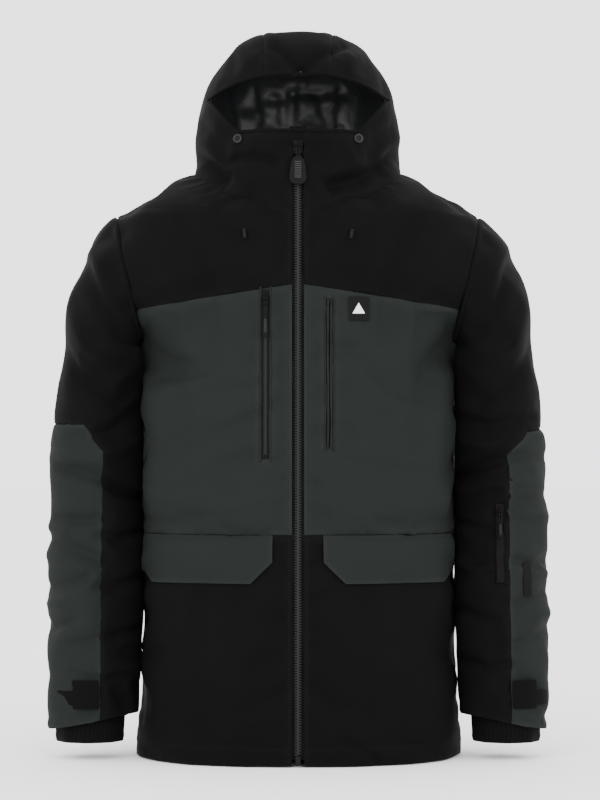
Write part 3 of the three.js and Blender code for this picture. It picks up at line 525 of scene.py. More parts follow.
def moulded(name, colour, light, rough, grain=0.8, metal=0.0, relief=0.12, shine=0.3):
    # moulded rubber, plastic or plated metal: fine grain, tone varying a little at random
    made, t = newMaterial(name)
    where = node(t, "ShaderNodeTexCoord")
    fine = node(t, "ShaderNodeTexNoise", {"Vector": where.outputs["Object"]}, Scale=1000 / grain, Detail=3.0)
    wide = node(t, "ShaderNodeTexNoise", {"Vector": where.outputs["Object"]}, Scale=180.0, Detail=4.0)
    mixed = node(t, "ShaderNodeMix", {"Factor": wide.outputs["Fac"]}, data_type="RGBA")
    mixed.inputs["A"].default_value = linear(colour)
    mixed.inputs["B"].default_value = linear(light)
    bump = node(t, "ShaderNodeBump", {"Height": fine.outputs["Fac"]}, Strength=relief, Distance=0.0002)
    r = node(t, "ShaderNodeMapRange", {"Value": wide.outputs["Fac"]},
             **{"To Min": rough - 0.06, "To Max": rough + 0.08})
    shader = node(t, "ShaderNodeBsdfPrincipled",
                  {"Base Color": mixed.outputs["Result"], "Normal": bump.outputs[0],
                   "Roughness": r.outputs[0]})
    shader.inputs["Metallic"].default_value = metal
    shader.inputs["Specular IOR Level"].default_value = shine
    closeMaterial(t, shader)
    return made


blackShell = wovenShell("wovenPolyesterBlack", "#060606", "#0a0a0a")
greyShell = wovenShell("wovenPolyesterGrey", "#191c1b", "#1f2221")
liningCloth = taffeta("nylonTaffetaLining", "#202122", "#313234")
knitCuff = ribKnit("ribKnitCuff", "#040404", "#070707")
tapeCloth = moulded("wovenZipTape", "#060606", "#0d0d0d", 0.85, grain=1.2, relief=0.4, shine=0.1)
toothPlastic = moulded("acetalZipTeeth", "#0a0b0b", "#121313", 0.36, shine=0.16)
blackPlastic = moulded("blackAcetal", "#090909", "#101010", 0.5, shine=0.1)
pullRubber = moulded("mouldedPullRubber", "#080808", "#0d0d0d", 0.65, shine=0.08)
gunmetal = moulded("gunmetalPlating", "#0b0b0c", "#171718", 0.42, metal=1.0)
ringMetal = moulded("eyeletPlating", "#1e1f20", "#333436", 0.36, metal=1.0)
gloss = moulded("coatedTapeGloss", "#030303", "#060606", 0.2, relief=0.05, shine=0.12)
badgeRubber = moulded("badgeRubber", "#040404", "#070707", 0.5, relief=0.05, shine=0.08)
thread = moulded("sewingThread", "#0c0c0c", "#161616", 0.7, relief=0.5, shine=0.15)
badgeWhite = moulded("printedWhite", "#d8d8d6", "#e6e6e4", 0.5)


def coat(piece, material):
    piece.data.materials.clear()
    piece.data.materials.append(material)


def markSeam(piece, amount):
    a = piece.data.attributes.new("seam", "FLOAT", "POINT")
    a.data.foreach_set("value", np.asarray(amount, np.float32))


# the body
torso = {"columns": 92, "backColumns": 84, "row": 6.5, "sink": 2.2, "slack": 0.05, "pressure": 1.6,
         "cap": 4.2, "frames": 14, "bend": 0.8, "hemBand": 26.0, "hemDip": 1.3, "seamDip": 2.4,
         "foldDeep": 1.25, "foldWide": 0.85, "leftOut": 6.4, "rightOut": 3.4}
seams = {"yokeZ": 625.0, "drop": 0.154, "flapZ": 297.0, "backZ": 600.0, "zipHalf": 8.0}
chestZips = {"right": {"x": -42.4, "low": 396, "high": 616, "width": 12.0},
             "left": {"x": 41.0, "low": 410, "high": 604, "width": 9.5}}

flatRows = np.arange(0, 545, torso["row"])
armRows = armholeCentre[2] - body["armhole"] / 2 * np.cos(np.linspace(0, math.pi, 27))
topRows = np.arange(727, 782, 5.5)
bodyRows = np.concatenate([flatRows, armRows, topRows])


def bodyHalfPiece(name, front, inset, rows, columns):
    rings = [bodyHalf(z, inset, front, columns) for z in rows]
    points = np.array([r[0] for r in rings])
    ease = (0.5 * np.exp(-((rows - 552) / 34) ** 2))[1:-1, None, None]
    for k in range(60):
        points[1:-1] += ease * ((points[:-2] + points[2:]) / 2 - points[1:-1])
    uv = np.stack([np.array([r[1] for r in rings]), np.repeat(rows[:, None], columns, 1)], 2)
    if not front:
        points, uv = points[:, ::-1], uv[:, ::-1] * [-1, 1]
    return gridPiece(name, points, uv=uv)


def insideHood(p, grow):
    if p[2] < 718:
        return False
    z = max(p[2], 722.5)
    half = hoodHalf(z) + grow
    deep = (hoodFace(z) if p[1] < hood["middleY"] else hoodRear(z)) + grow
    return (abs(p[0]) / half) ** 2.15 + (abs(p[1] - hood["middleY"]) / deep) ** 2.15 < 1


frontPiece = bodyHalfPiece("bodyCloth", True, torso["sink"], bodyRows, torso["columns"])
backPiece = bodyHalfPiece("backCloth", False, torso["sink"], bodyRows, torso["backColumns"])
alone(frontPiece)
backPiece.select_set(True)
bpy.ops.object.join()
merge(frontPiece, 0.4)
b = bmesh.new()
b.from_mesh(frontPiece.data)


def isFront(c):
    return c.y < sideSeamY


for side in (1, -1):
    cut(b, (0, 0, seams["yokeZ"]), (side * seams["drop"], 0, 1),
        lambda c: isFront(c) and side * c.x > 0 and 560 < c.z < 660)
    cut(b, (side * seams["zipHalf"], 0, 0), (1, 0, 0), lambda c: isFront(c) and abs(c.x) < 40)
cut(b, (0, 0, seams["flapZ"]), (0, 0, 1), lambda c: 270 < c.z < 320)
cut(b, (0, 0, seams["backZ"]), (0, 0, 1), lambda c: not isFront(c) and 570 < c.z < 630)
for zipper in chestZips.values():
    x, half = zipper["x"], zipper["width"] / 2 + 0.4

    def beside(c):
        return isFront(c) and abs(c.x - x) < 24 and zipper["low"] - 14 < c.z < zipper["high"] + 14

    for e in (x - half, x + half):
        cut(b, (e, 0, 0), (1, 0, 0), beside)
    for e in (zipper["low"], zipper["high"]):
        cut(b, (0, 0, e), (0, 0, 1), beside)


def inSlot(c):
    if isFront(c) and abs(c.x) < seams["zipHalf"] and c.z < 830:
        return True
    return any(isFront(c) and abs(c.x - s["x"]) < s["width"] / 2 + 0.4 and s["low"] < c.z < s["high"]
               for s in chestZips.values())


gone = [f for f in b.faces if inSlot(f.calc_center_median()) or insideHood(f.calc_center_median(), -7)]
bmesh.ops.delete(b, geom=gone, context="FACES")
b.to_mesh(frontPiece.data)
b.free()
bodyCloth = frontPiece


def bodyPanel(c):
    x, y, z = c
    if y < sideSeamY:
        return 0 if z > seams["yokeZ"] - seams["drop"] * abs(x) else 1 if z > seams["flapZ"] else 2
    return 3 if z > seams["backZ"] else 4 if z > seams["flapZ"] else 5


def facePanels(piece, classify):
    centres = np.zeros(len(piece.data.polygons) * 3)
    piece.data.polygons.foreach_get("center", centres)
    return np.array([classify(c) for c in centres.reshape(-1, 3)])


def seamVerts(piece, panels):
    # vertices where two panels meet, or at a free edge
    n = len(piece.data.vertices)
    lowest = np.full(n, 99)
    highest = np.full(n, -1)
    for f, k in zip(piece.data.polygons, panels):
        for v in f.vertices:
            lowest[v] = min(lowest[v], k)
            highest[v] = max(highest[v], k)
    onSeam = lowest != highest
    b = bmesh.new()
    b.from_mesh(piece.data)
    edge = np.zeros(n, bool)
    for v in b.verts:
        edge[v.index] = v.is_boundary
    b.free()
    return onSeam, edge


def near(points, marked, reach):
    # how near each point is to the marked ones, from 1 at them to 0 at reach
    spots = points[marked]
    tree = KDTree(len(spots))
    for k, p in enumerate(spots):
        tree.insert(p, k)
    tree.balance()
    away = np.array([tree.find(p)[2] for p in points])
    return np.clip(1 - away / reach, 0, 1)


panels = facePanels(bodyCloth, bodyPanel)
onSeam, onEdge = seamVerts(bodyCloth, panels)
points, normals = readPoints(bodyCloth), readNormals(bodyCloth)
atSeam = near(points, onSeam, 16)
points = points + normals * (-torso["seamDip"] * atSeam ** 3)[:, None]
hemStitch = np.exp(-((points[:, 2] - torso["hemBand"]) / 3.2) ** 2)
points = points + normals * (-torso["hemDip"] * hemStitch)[:, None]
# both sides of the body stand out a little, the left one more than the right
side = np.exp(-((points[:, 1] - sideSeamY) / 30) ** 2) * (points[:, 2] < 556)
points[:, 0] += np.where(points[:, 0] > 0, torso["leftOut"], -torso["rightOut"]) * side
shoulder = np.exp(-((np.abs(points[:, 0]) - 172) / 46) ** 2) * smoothstep(points[:, 2], 685, 735)
points[:, 2] += 6.5 * shoulder
# long soft folds, listed: (line in the front view, depth, width)
bodyFolds = [
    ([(-150, 700), (-120, 640), (-112, 560)], -4.5, 16), ([(-175, 660), (-150, 600), (-146, 540)], 3.5, 15),
    ([(150, 700), (122, 640), (112, 560)], -4.5, 16), ([(178, 655), (150, 600), (140, 520)], 3.5, 15),
    ([(-205, 560), (-165, 520), (-150, 430)], -5, 17), ([(205, 560), (168, 515), (150, 420)], -5, 17),
    ([(-195, 500), (-182, 430), (-186, 330)], 4, 16), ([(195, 505), (178, 430), (186, 330)], 4, 16),
    ([(-60, 540), (-110, 500), (-190, 480)], 2.2, 13), ([(70, 520), (120, 470), (196, 450)], 2.2, 13),
    ([(-30, 470), (-80, 440), (-180, 410)], -2.2, 13), ([(40, 400), (95, 385), (190, 375)], -2.4, 13),
    ([(-20, 350), (-90, 330), (-195, 350)], 2.6, 12), ([(20, 345), (90, 322), (196, 345)], 2.6, 12),
    ([(-120, 322), (-160, 312), (-200, 318)], -3, 8), ([(100, 318), (150, 308), (200, 316)], -3, 8),
    ([(-30, 200), (-70, 130), (-78, 40)], 3.4, 18), ([(-120, 225), (-128, 130), (-120, 30)], -3.6, 18),
    ([(30, 220), (62, 140), (70, 40)], 3.2, 18), ([(130, 225), (136, 130), (128, 30)], -3.8, 18),
    ([(-180, 225), (-176, 130), (-186, 30)], 3.4, 16), ([(182, 225), (180, 130), (190, 30)], 3.4, 16),
    ([(60, 32), (84, 20), (106, 2)], -3.5, 6), ([(-60, 690), (-100, 704), (-130, 730)], 3, 10),
    ([(60, 690), (100, 704), (130, 730)], 3, 10), ([(-30, 660), (-90, 650), (-190, 622)], 2.2, 10),
    ([(30, 660), (90, 650), (190, 622)], 2.2, 10),
]
for line, deep, wide in bodyFolds:
    points = fold(points, normals, line, deep * torso["foldDeep"], wide * torso["foldWide"], facing=-1)
    back = [(-x, z) for x, z in line]
    points = fold(points, normals, back, deep, wide, facing=1)
points = points + normals * (ripple(points, 62, 4) * 1.3 * (1 - atSeam))[:, None]
writePoints(bodyCloth, points)
pins = np.where(onSeam | onEdge, 1.0, 0.0)
zipSide = (np.abs(points[:, 0]) < 12) & (points[:, 1] < 0)
pins[zipSide] = 1.0
drape(bodyCloth, pins, torso)
markSeam(bodyCloth, near(readPoints(bodyCloth), onSeam | onEdge, 9))
bodyTree = BVHTree.FromObject(bodyCloth, bpy.context.evaluated_depsgraph_get())
piece = underlay(bodyCloth, "bodyBacking", 1.8)
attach(piece, "torso")
bodyNames = ["yokeFront", "chestFront", "lowerFront", "yokeBack", "middleBack", "lowerBack"]
bodyPieces = split(bodyCloth, bodyNames, panels)
for name, piece in bodyPieces.items():
    finish(piece, 3.0)
    coat(piece, greyShell if name in ("chestFront", "middleBack") else blackShell)
    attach(piece, "torso")
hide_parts("yoke_front_left", "yoke_front_right")
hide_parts("chest_panel_left", "chest_panel_right")
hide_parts("lower_front_left", "lower_front_right")
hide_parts("yoke_back")
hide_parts("back_panel")
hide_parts("lower_back")
print("body made")

# the sleeves
sleeve = {"columns": 66, "row": 5.6, "sink": 1.4, "slack": 0.04, "pressure": 1.2, "cap": 3.6, "frames": 14,
          "bend": 0.5, "seamDip": 2.0, "foldDeep": 1.45, "foldWide": 0.85,
          "innerX": {"left": 211.0, "right": 208.2}}
cuffEdge = {"x": 271.5, "z": 49.5, "slope": 25 / 122}
sleeveReach, sleeveLine = sleeveKeys()
sleeveSeams = {"left": {"x": 281.0, "top": [(336, 438), (306, 431), (281, 402)]},
               "right": {"x": 260.0, "top": [(336, 443), (286, 441), (260, 405)]}}
sleeveFolds = {
    "right": [([(318, 384), (299, 380), (265, 370), (232, 352), (205, 338)], -7, 9),
              ([(334, 396), (300, 398), (262, 392)], 4, 9), ([(322, 318), (292, 314), (262, 317)], -5, 8),
              ([(334, 290), (300, 280), (258, 262)], -5, 8), ([(334, 305), (305, 300)], 4, 8),
              ([(334, 268), (305, 262), (285, 250)], 4, 9), ([(334, 226), (300, 232), (280, 240)], -4, 8),
              ([(334, 204), (312, 206)], 3.5, 8), ([(330, 172), (300, 182)], -4, 9),
              ([(290, 660), (262, 600), (236, 565)], -5, 12),
              ([(312, 610), (280, 545), (238, 510)], 4, 13),
              ([(322, 560), (290, 505), (240, 470)], -5, 12),
              ([(214, 470), (250, 430), (300, 425)], -4, 10),
              ([(214, 430), (240, 408), (262, 404)], 3.5, 8),
              ([(216, 300), (240, 290), (262, 295)], -3.5, 8),
              ([(216, 240), (244, 226), (262, 228)], -3.5, 9),
              ([(218, 170), (246, 160), (300, 150)], -3.5, 10),
              ([(220, 120), (250, 116), (300, 122)], 2.5, 8)],
    "left": [([(212, 372), (240, 386), (271, 396), (300, 399), (334, 398)], -6.5, 9),
             ([(216, 350), (250, 362), (300, 368)], 4, 10), ([(334, 345), (300, 338), (276, 330)], -4, 8),
             ([(334, 318), (306, 322), (284, 330)], 3.5, 8), ([(334, 262), (316, 256), (290, 262)], -5, 8),
             ([(334, 244), (314, 240)], 4, 8), ([(334, 220), (311, 214), (286, 206)], -4.5, 8),
             ([(334, 190), (312, 186)], 3.5, 8), ([(334, 168), (304, 160), (284, 150)], -4, 9),
             ([(290, 662), (266, 606), (238, 566)], -5, 12), ([(310, 615), (282, 550), (240, 512)], 4, 13),
             ([(322, 565), (296, 512), (244, 474)], -5, 12),
             ([(214, 452), (256, 440), (310, 452)], -4, 10),
             ([(216, 424), (252, 414), (322, 424)], 3.5, 9),
             ([(216, 316), (236, 304), (258, 300)], -3.5, 8),
             ([(216, 262), (236, 250), (256, 252)], 3.5, 8),
             ([(218, 200), (240, 186), (258, 182)], -3.5, 9), ([(220, 130), (250, 122), (280, 126)], -3, 8)],
}
sleeveTrees = {}


def rideSleeve(piece):
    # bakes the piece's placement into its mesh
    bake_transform(piece)


for name, side in (("left", 1), ("right", -1)):
    v = np.concatenate([[0], np.arange(2.5, 30, 4.5), np.arange(30, sleeveReach[-1], sleeve["row"]),
                        [sleeveReach[-1]]])[::-1]
    grid = sleeveAt(sleeveLine, v, sleeve["sink"], sleeve["columns"])
    around = np.cumsum(np.linalg.norm(np.diff(grid, axis=1, append=grid[:, :1]), axis=2), axis=1)
    uv = np.stack([around, np.repeat(-v[:, None], sleeve["columns"], 1)], 2)
    if side < 0:
        grid, uv = grid[:, ::-1] * [-1, 1, 1], uv[:, ::-1]
    piece = gridPiece(name + "SleeveCloth", grid, True, uv)
    seam = sleeveSeams[name]
    b = bmesh.new()
    b.from_mesh(piece.data)
    cut(b, (side * cuffEdge["x"], 0, cuffEdge["z"]), (side * cuffEdge["slope"], 0, 1), lambda c: c.z < 90)
    centres = [(f, f.calc_center_median()) for f in b.faces]
    gone = [f for f, c in centres if c.z < cuffEdge["z"] - (side * c.x - cuffEdge["x"]) * cuffEdge["slope"]]
    bmesh.ops.delete(b, geom=gone, context="FACES")
    cut(b, (side * seam["x"], 0, 0), (1, 0, 0), lambda c: c.z < 470 and abs(side * c.x - seam["x"]) < 20)
    for (x0, z0), (x1, z1) in zip(seam["top"][:-1], seam["top"][1:]):
        cut(b, (side * x0, 0, z0), (side * (z1 - z0), 0, x0 - x1),
            lambda c: min(x0, x1) - 8 < side * c.x < max(x0, x1) + 8 and abs(c.z - (z0 + z1) / 2) < 40)
    b.to_mesh(piece.data)
    b.free()
    topX, topZ = zip(*seam["top"][::-1])

    def sleevePanel(c):
        x = side * c[0]
        return 1 if x >= seam["x"] and c[2] < np.interp(x, topX, topZ) else 0

    parts = facePanels(piece, sleevePanel)
    onSeam, onEdge = seamVerts(piece, parts)
    points, normals = readPoints(piece), readNormals(piece)
    atSeam = near(points, onSeam, 14)
    points = points + normals * (-sleeve["seamDip"] * atSeam ** 3)[:, None]
    for line, deep, wide in sleeveFolds[name]:
        front = [(side * x, z) for x, z in line]
        back = [(side * (545 - x), z - 14) for x, z in line]
        points = fold(points, normals, front, deep * sleeve["foldDeep"], wide * sleeve["foldWide"], facing=-1)
        points = fold(points, normals, back, deep, wide, facing=1)
    points = points + normals * (ripple(points, 46, 11 + side) * 1.2)[:, None]
    writePoints(piece, points)
    pins = np.where(onEdge, 1.0, np.where(onSeam, 0.5, 0.0))
    drape(piece, pins, sleeve)
    points = readPoints(piece)
    # the inner wall eases outwards and never crosses the side of the body
    flare = 8 * np.maximum(0, 1 - points[:, 2] / 250) ** 2
    inwards = side * points[:, 0] - 12 * np.exp(-((side * points[:, 0] - 212 - flare) / 20) ** 2)
    keep = side * np.maximum(inwards, sleeve["innerX"][name] + flare)
    points[:, 0] = np.where(points[:, 2] < 545, keep, points[:, 0])
    writePoints(piece, points)
    markSeam(piece, near(points, onSeam | onEdge, 8))
    sleeveTrees[name] = BVHTree.FromObject(piece, bpy.context.evaluated_depsgraph_get())
    part = underlay(piece, name + "SleeveBacking", 1.6)
    rideSleeve(part)
    made = split(piece, [name + "SleeveBlack", name + "SleeveGrey"], parts)
    for k, part in enumerate(made.values()):
        finish(part, 2.6)
        coat(part, greyShell if k else blackShell)
        rideSleeve(part)
    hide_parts("upper_sleeve_" + name, "forearm_inner_" + name)
    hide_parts("forearm_outer_" + name, "elbow_" + name)
print("sleeves made")


def tuck(piece, trees, least):
    # an inner layer stays at least this far behind the outer cloth, wherever a fold dips
    points = readPoints(piece)
    for k in list(range(len(points))) * 3:
        p = points[k]
        for tree in trees:
            hit, normal, _, away = tree.find_nearest(Vector(p))
            if hit is None or away > 40:
                continue
            depth = (Vector(p) - hit).dot(normal)
            if depth > -least:
                points[k] = np.array(Vector(p) - normal * (least + depth))
                p = points[k]
    writePoints(piece, points)


# cuffs: knitted gaiters, tabs and the sleeve linings
gaiter = {"inset": 11.5, "top": 88.0, "bottom": 21.0, "thick": 2.0, "rows": 26, "columns": 84, "ribs": 9}
armLining = {"first": 4, "short": 96, "row": 9.0, "columns": 48, "inset": 7.2, "sunk": 16.0, "ease": 50,
             "behind": 5.5}


def sleeveRingAt(z, inset, columns):
    # the ring of the sleeve at a height below the armhole
    v = np.interp(-z, -np.array(armHeights, float), sleeveReach[4:])
    return sleeveAt(sleeveLine, [v], inset, columns)[0]


for name, side in (("left", 1), ("right", -1)):
    rows = np.linspace(gaiter["bottom"], gaiter["top"], gaiter["rows"])
    grid = np.array([sleeveRingAt(z, gaiter["inset"], gaiter["columns"]) for z in rows])
    turn = np.linspace(0, 2 * math.pi, gaiter["columns"], endpoint=False)
    wave = 0.9 * np.sin(turn * gaiter["ribs"]) * np.linspace(1, 0.3, gaiter["rows"])[:, None]
    centre = grid.mean(axis=1, keepdims=True)
    out = (grid - centre) / np.linalg.norm(grid - centre, axis=2, keepdims=True)
    belly = 2.2 * np.sin(np.linspace(0, math.pi, gaiter["rows"]))[:, None]
    hemRoll = 1.2 * np.exp(-((rows - 27) / 4) ** 2)[:, None]
    grid = grid + out * (wave + belly + hemRoll)[:, :, None]
    around = np.cumsum(np.linalg.norm(np.diff(grid, axis=1, append=grid[:, :1]), axis=2), axis=1)
    uv = np.stack([around, np.repeat(rows[:, None], gaiter["columns"], 1)], 2)
    if side < 0:
        grid, uv = grid[:, ::-1] * [-1, 1, 1], uv[:, ::-1]
    piece = gridPiece(name + "Gaiter", grid, True, uv)
    finish(piece, gaiter["thick"])
    coat(piece, knitCuff)
    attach(piece, "forearm_" + name)
    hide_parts("wrist_gaiter_" + name)

    # the lining is close to the shell at its ends and sunk between, clear of the folds
    v = np.arange(armLining["first"], sleeveReach[-1] - armLining["short"], armLining["row"])[::-1]
    shallow = sleeveAt(sleeveLine, v, armLining["inset"], armLining["columns"])
    sunk = sleeveAt(sleeveLine, v, armLining["sunk"], armLining["columns"])
    inside = np.minimum(1, np.minimum(v - v.min(), v.max() - v) / armLining["ease"])[:, None, None]
    grid = shallow * (1 - inside) + sunk * inside
    centre = grid.mean(axis=1, keepdims=True)
    out = (grid - centre) / np.linalg.norm(grid - centre, axis=2, keepdims=True)
    grid = grid + out * ripple(grid.reshape(-1, 3), 40, 5).reshape(grid.shape[:2])[:, :, None]
    if side < 0:
        grid = grid[:, ::-1] * [-1, 1, 1]
    piece = gridPiece(name + "SleeveLining", grid, True)
    tuck(piece, [sleeveTrees[name]], armLining["behind"])
    finish(piece, 0.8)
    coat(piece, liningCloth)
    rideSleeve(piece)
    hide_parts("sleeve_lining_" + name)

tab = {"length": 62.0, "wide": 38.0, "narrow": 20.0, "grip": 26.0, "low": 67.0, "lift": 2.2, "thick": 2.2}


def sleevePoint(side, startX, s, z, lift):
    # a point s along the outside of the sleeve from startX, on the draped cloth
    ring = sleeveRingAt(z, -lift, 240)
    front = ring[np.argmin(np.abs(ring[:, 0] - startX) + 1e3 * (ring[:, 1] > ring[:, 1].mean()))]
    first = int(np.argmin(np.linalg.norm(ring - front, axis=1)))
    order = np.roll(ring, -first, axis=0)
    length = np.concatenate([[0], np.cumsum(np.linalg.norm(np.diff(order, axis=0), axis=1))])
    p = np.array([np.interp(s, length, order[:, k]) for k in range(3)])
    return p * [side, 1, 1]


def tabOutline(s, h):
    # the wide sewn part steps down to a narrow moulded grip
    if s < tab["length"] - tab["grip"]:
        return 0 <= h <= tab["wide"]
    return 4 <= h <= 4 + tab["narrow"]


for name, side in (("left", 1), ("right", -1)):
    startX = sleeveSeams[name]["x"] + 1
    rows = np.arange(0, tab["wide"] + 0.1, tab["wide"] / 16)
    columns = np.linspace(0, tab["length"], 30)
    grid = np.array([[sleevePoint(side, startX, s, tab["low"] + h, tab["lift"]) for s in columns]
                     for h in rows])
    if side < 0:
        grid = grid[:, ::-1]
        columns = columns[::-1]
    uv = np.stack(np.meshgrid(columns, rows), 2)
    piece = gridPiece(name + "CuffTab", grid, uv=uv)
    b = bmesh.new()
    b.from_mesh(piece.data)
    b.faces.ensure_lookup_table()
    count = len(columns) - 1
    gone = [f for f in b.faces
            if not tabOutline((columns[f.index % count] + columns[f.index % count + 1]) / 2,
                              (rows[f.index // count] + rows[f.index // count + 1]) / 2)]
    bmesh.ops.delete(b, geom=gone, context="FACES")
    rim = [v for v in b.verts if v.is_boundary]
    bmesh.ops.smooth_vert(b, verts=rim, factor=0.4, use_axis_x=True, use_axis_y=True, use_axis_z=True)
    b.to_mesh(piece.data)
    b.free()
    finish(piece, tab["thick"])
    coat(piece, blackShell)
    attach(piece, "tab_" + name)
    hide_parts("cuff_tab_" + name)
print("cuffs made")

# hood and collar
hoodLook = {"columns": 120, "sink": 1.8, "slack": 0.03, "pressure": 1.2, "cap": 4.5, "frames": 12,
            "bend": 1.2, "seamX": 46.0}
faceCut = {"half": 119.0, "cornerZ": 873.0, "topZ": 901.0, "flat": 74.0}
dome = 800 + 172 * np.sin(np.linspace(0, math.pi / 2, 34)) ** (1 / 1.15)
hoodRows = np.concatenate([np.arange(719, 800, 5.5), dome])


def bezier(a, b, c, d, steps=24):
    t = np.linspace(0, 1, steps, endpoint=False)[:, None]
    a, b, c, d = (np.array(p, float) for p in (a, b, c, d))
    return a * (1 - t) ** 3 + 3 * b * t * (1 - t) ** 2 + 3 * c * t * t * (1 - t) + d * t ** 3


def faceOutline(grow=0.0):
    w, flat, low = faceCut["half"] + grow, faceCut["flat"] + grow / 2, hood["collarTop"] - grow
    corner, top = faceCut["cornerZ"], faceCut["topZ"] + grow
    return np.concatenate([
        bezier((-w, corner), (-w * 0.8, corner - 30), (-flat - 10, low), (-flat, low)),
        bezier((-flat, low), (-flat / 3, low), (flat / 3, low), (flat, low)),
        bezier((flat, low), (flat + 10, low), (w * 0.8, corner - 30), (w, corner)),
        bezier((w, corner), (w * 0.7, top - 4), (w * 0.35, top), (0, top)),
        bezier((0, top), (-w * 0.35, top), (-w * 0.7, top - 4), (-w, corner))])


def within(outline, x, z):
    a, b = outline, np.roll(outline, -1, axis=0)
    crosses = (a[:, 1] > z) != (b[:, 1] > z)
    reach = a[:, 0] + (z - a[:, 1]) * (b[:, 0] - a[:, 0]) / np.where(crosses, b[:, 1] - a[:, 1], 1)
    return int((crosses & (x < reach)).sum()) % 2 == 1


def hoodFrontY(x, z, inset=0.0):
    half, deep = hoodHalf(z) - inset, hoodFace(z) - inset
    return hood["middleY"] - deep * max(0, 1 - min(1, abs(x) / half) ** 2.15) ** (1 / 2.15)


def hoodCloth(name, inset, columns, rows, grow):
    grid = np.array([hoodRing(z, inset, columns) for z in rows])
    around = np.cumsum(np.linalg.norm(np.diff(grid, axis=1, append=grid[:, :1]), axis=2), axis=1)
    up = np.concatenate([[0], np.cumsum(np.linalg.norm(np.diff(grid, axis=0), axis=2).mean(axis=1))])
    uv = np.stack([around - around[:, -1:] / 2, np.repeat(up[:, None], columns, 1)], 2)
    piece = gridPiece(name, grid, True, uv)
    b = bmesh.new()
    b.from_mesh(piece.data)
    rim = [v for v in b.verts if abs(v.co.z - rows[-1]) < 1e-3]
    ring = [e for e in b.edges if all(v in rim for v in e.verts)]
    bmesh.ops.edgeloop_fill(b, edges=ring)
    cap = [f for f in b.faces if len(f.verts) > 8]
    bmesh.ops.poke(b, faces=cap)
    outline = faceOutline(grow)
    hole = [f for f in b.faces if f.calc_center_median().y < hood["middleY"]
            and within(outline, f.calc_center_median().x, f.calc_center_median().z)]
    bmesh.ops.delete(b, geom=hole, context="FACES")
    b.verts.ensure_lookup_table()
    for v in b.verts:
        if v.is_boundary and v.co.y < hood["middleY"] and v.co.z > 800:
            k = int(np.argmin(np.linalg.norm(outline - [v.co.x, v.co.z], axis=1)))
            x, z = outline[k]
            v.co = (x, hoodFrontY(x, z, inset), z)
    b.to_mesh(piece.data)
    b.free()
    merge(piece, 0.6)
    return piece


piece = hoodCloth("hoodCloth", hoodLook["sink"], hoodLook["columns"], hoodRows, 0)
b = bmesh.new()
b.from_mesh(piece.data)
for side in (1, -1):
    cut(b, (side * hoodLook["seamX"], 0, 0), (1, 0, 0),
        lambda c: abs(side * c.x - hoodLook["seamX"]) < 12 and c.z > 780)


def buried(c):
    if c.z > 795:
        return False
    hit = bodyTree.find_nearest(c)
    return hit[0] is not None and (c - hit[0]).dot(hit[1]) < -13 and hit[3] < 60


gone = [f for f in b.faces if buried(f.calc_center_median())]
bmesh.ops.delete(b, geom=gone, context="FACES")
lone = [v for v in b.verts if not v.link_faces]
bmesh.ops.delete(b, geom=lone, context="VERTS")
for side in (1, -1):
    cut(b, (side * 8, 0, 0), (1, 0, 0), lambda c: c.y < 0 and abs(c.x) < 26 and c.z < 832)
centres = [(f, f.calc_center_median()) for f in b.faces]
gone = [f for f, c in centres if c.y < 0 and abs(c.x) < 8 and c.z < 832]
bmesh.ops.delete(b, geom=gone, context="FACES")
b.to_mesh(piece.data)
b.free()


def hoodPanel(c):
    return 0 if overHoodPlane(np.array(c)) > 0 and c[2] > 826 and abs(c[0]) < hoodLook["seamX"] else 1


parts = facePanels(piece, hoodPanel)
onSeam, onEdge = seamVerts(piece, parts)
points, normals = readPoints(piece), readNormals(piece)
atSeam = near(points, onSeam, 14)
points = points + normals * (-0.9 * atSeam ** 3)[:, None]
hoodFolds = [([(4, 903), (-10, 918), (-30, 936)], -8, 5), ([(4, 903), (26, 922), (60, 941)], -8, 5),
             ([(-40, 910), (-70, 930), (-80, 950)], 2.5, 9), ([(50, 908), (80, 925), (92, 945)], 2.5, 9),
             ([(-136, 800), (-116, 782), (-98, 764)], -14, 9),
             ([(136, 804), (112, 782), (82, 764), (46, 754)], -17, 10),
             ([(-84, 790), (-56, 794), (-30, 786)], -9, 6), ([(-134, 778), (-110, 752), (-80, 738)], 5, 9),
             ([(134, 778), (110, 752), (82, 738)], 5, 9),
             ([(-128, 840), (-104, 815), (-96, 790)], -4.5, 9),
             ([(128, 840), (106, 815), (98, 790)], -4.5, 9), ([(-60, 815), (-70, 785), (-60, 762)], 3, 9),
             ([(60, 815), (72, 785), (62, 762)], 3, 9), ([(-20, 812), (-34, 780), (-24, 745)], -3, 8),
             ([(24, 812), (38, 780), (26, 745)], -3, 8)]
for line, deep, wide in hoodFolds:
    points = fold(points, normals, line, deep, wide, facing=-1)
hoodRearFolds = [([(-90, 800), (0, 812), (90, 800)], -5, 9), ([(-100, 775), (0, 782), (100, 775)], 4, 9),
                 ([(-60, 860), (20, 850), (70, 866)], -3, 12), ([(-70, 905), (0, 915), (70, 905)], 3, 14)]
for line, deep, wide in hoodRearFolds:
    points = fold(points, normals, line, deep, wide, facing=1)
points = points + normals * (ripple(points, 58, 21) * 1.5)[:, None]
writePoints(piece, points)
pins = np.where(onEdge | onSeam, 1.0, 0.0)
drape(piece, pins, hoodLook)
markSeam(piece, near(readPoints(piece), onSeam | onEdge, 8))
hoodTree = BVHTree.FromObject(piece, bpy.context.evaluated_depsgraph_get())


def rideHood(piece):
    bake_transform(piece)


part = underlay(piece, "hoodBacking", 1.8)
rideHood(part)
made = split(piece, ["hoodCentre", "hoodSides"], parts)
for part in made.values():
    finish(part, 3.0)
    coat(part, blackShell)
    rideHood(part)
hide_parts("hood_centre")
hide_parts("hood_side_left", "hood_side_right", "collar_left", "collar_right",
            "collar_back")


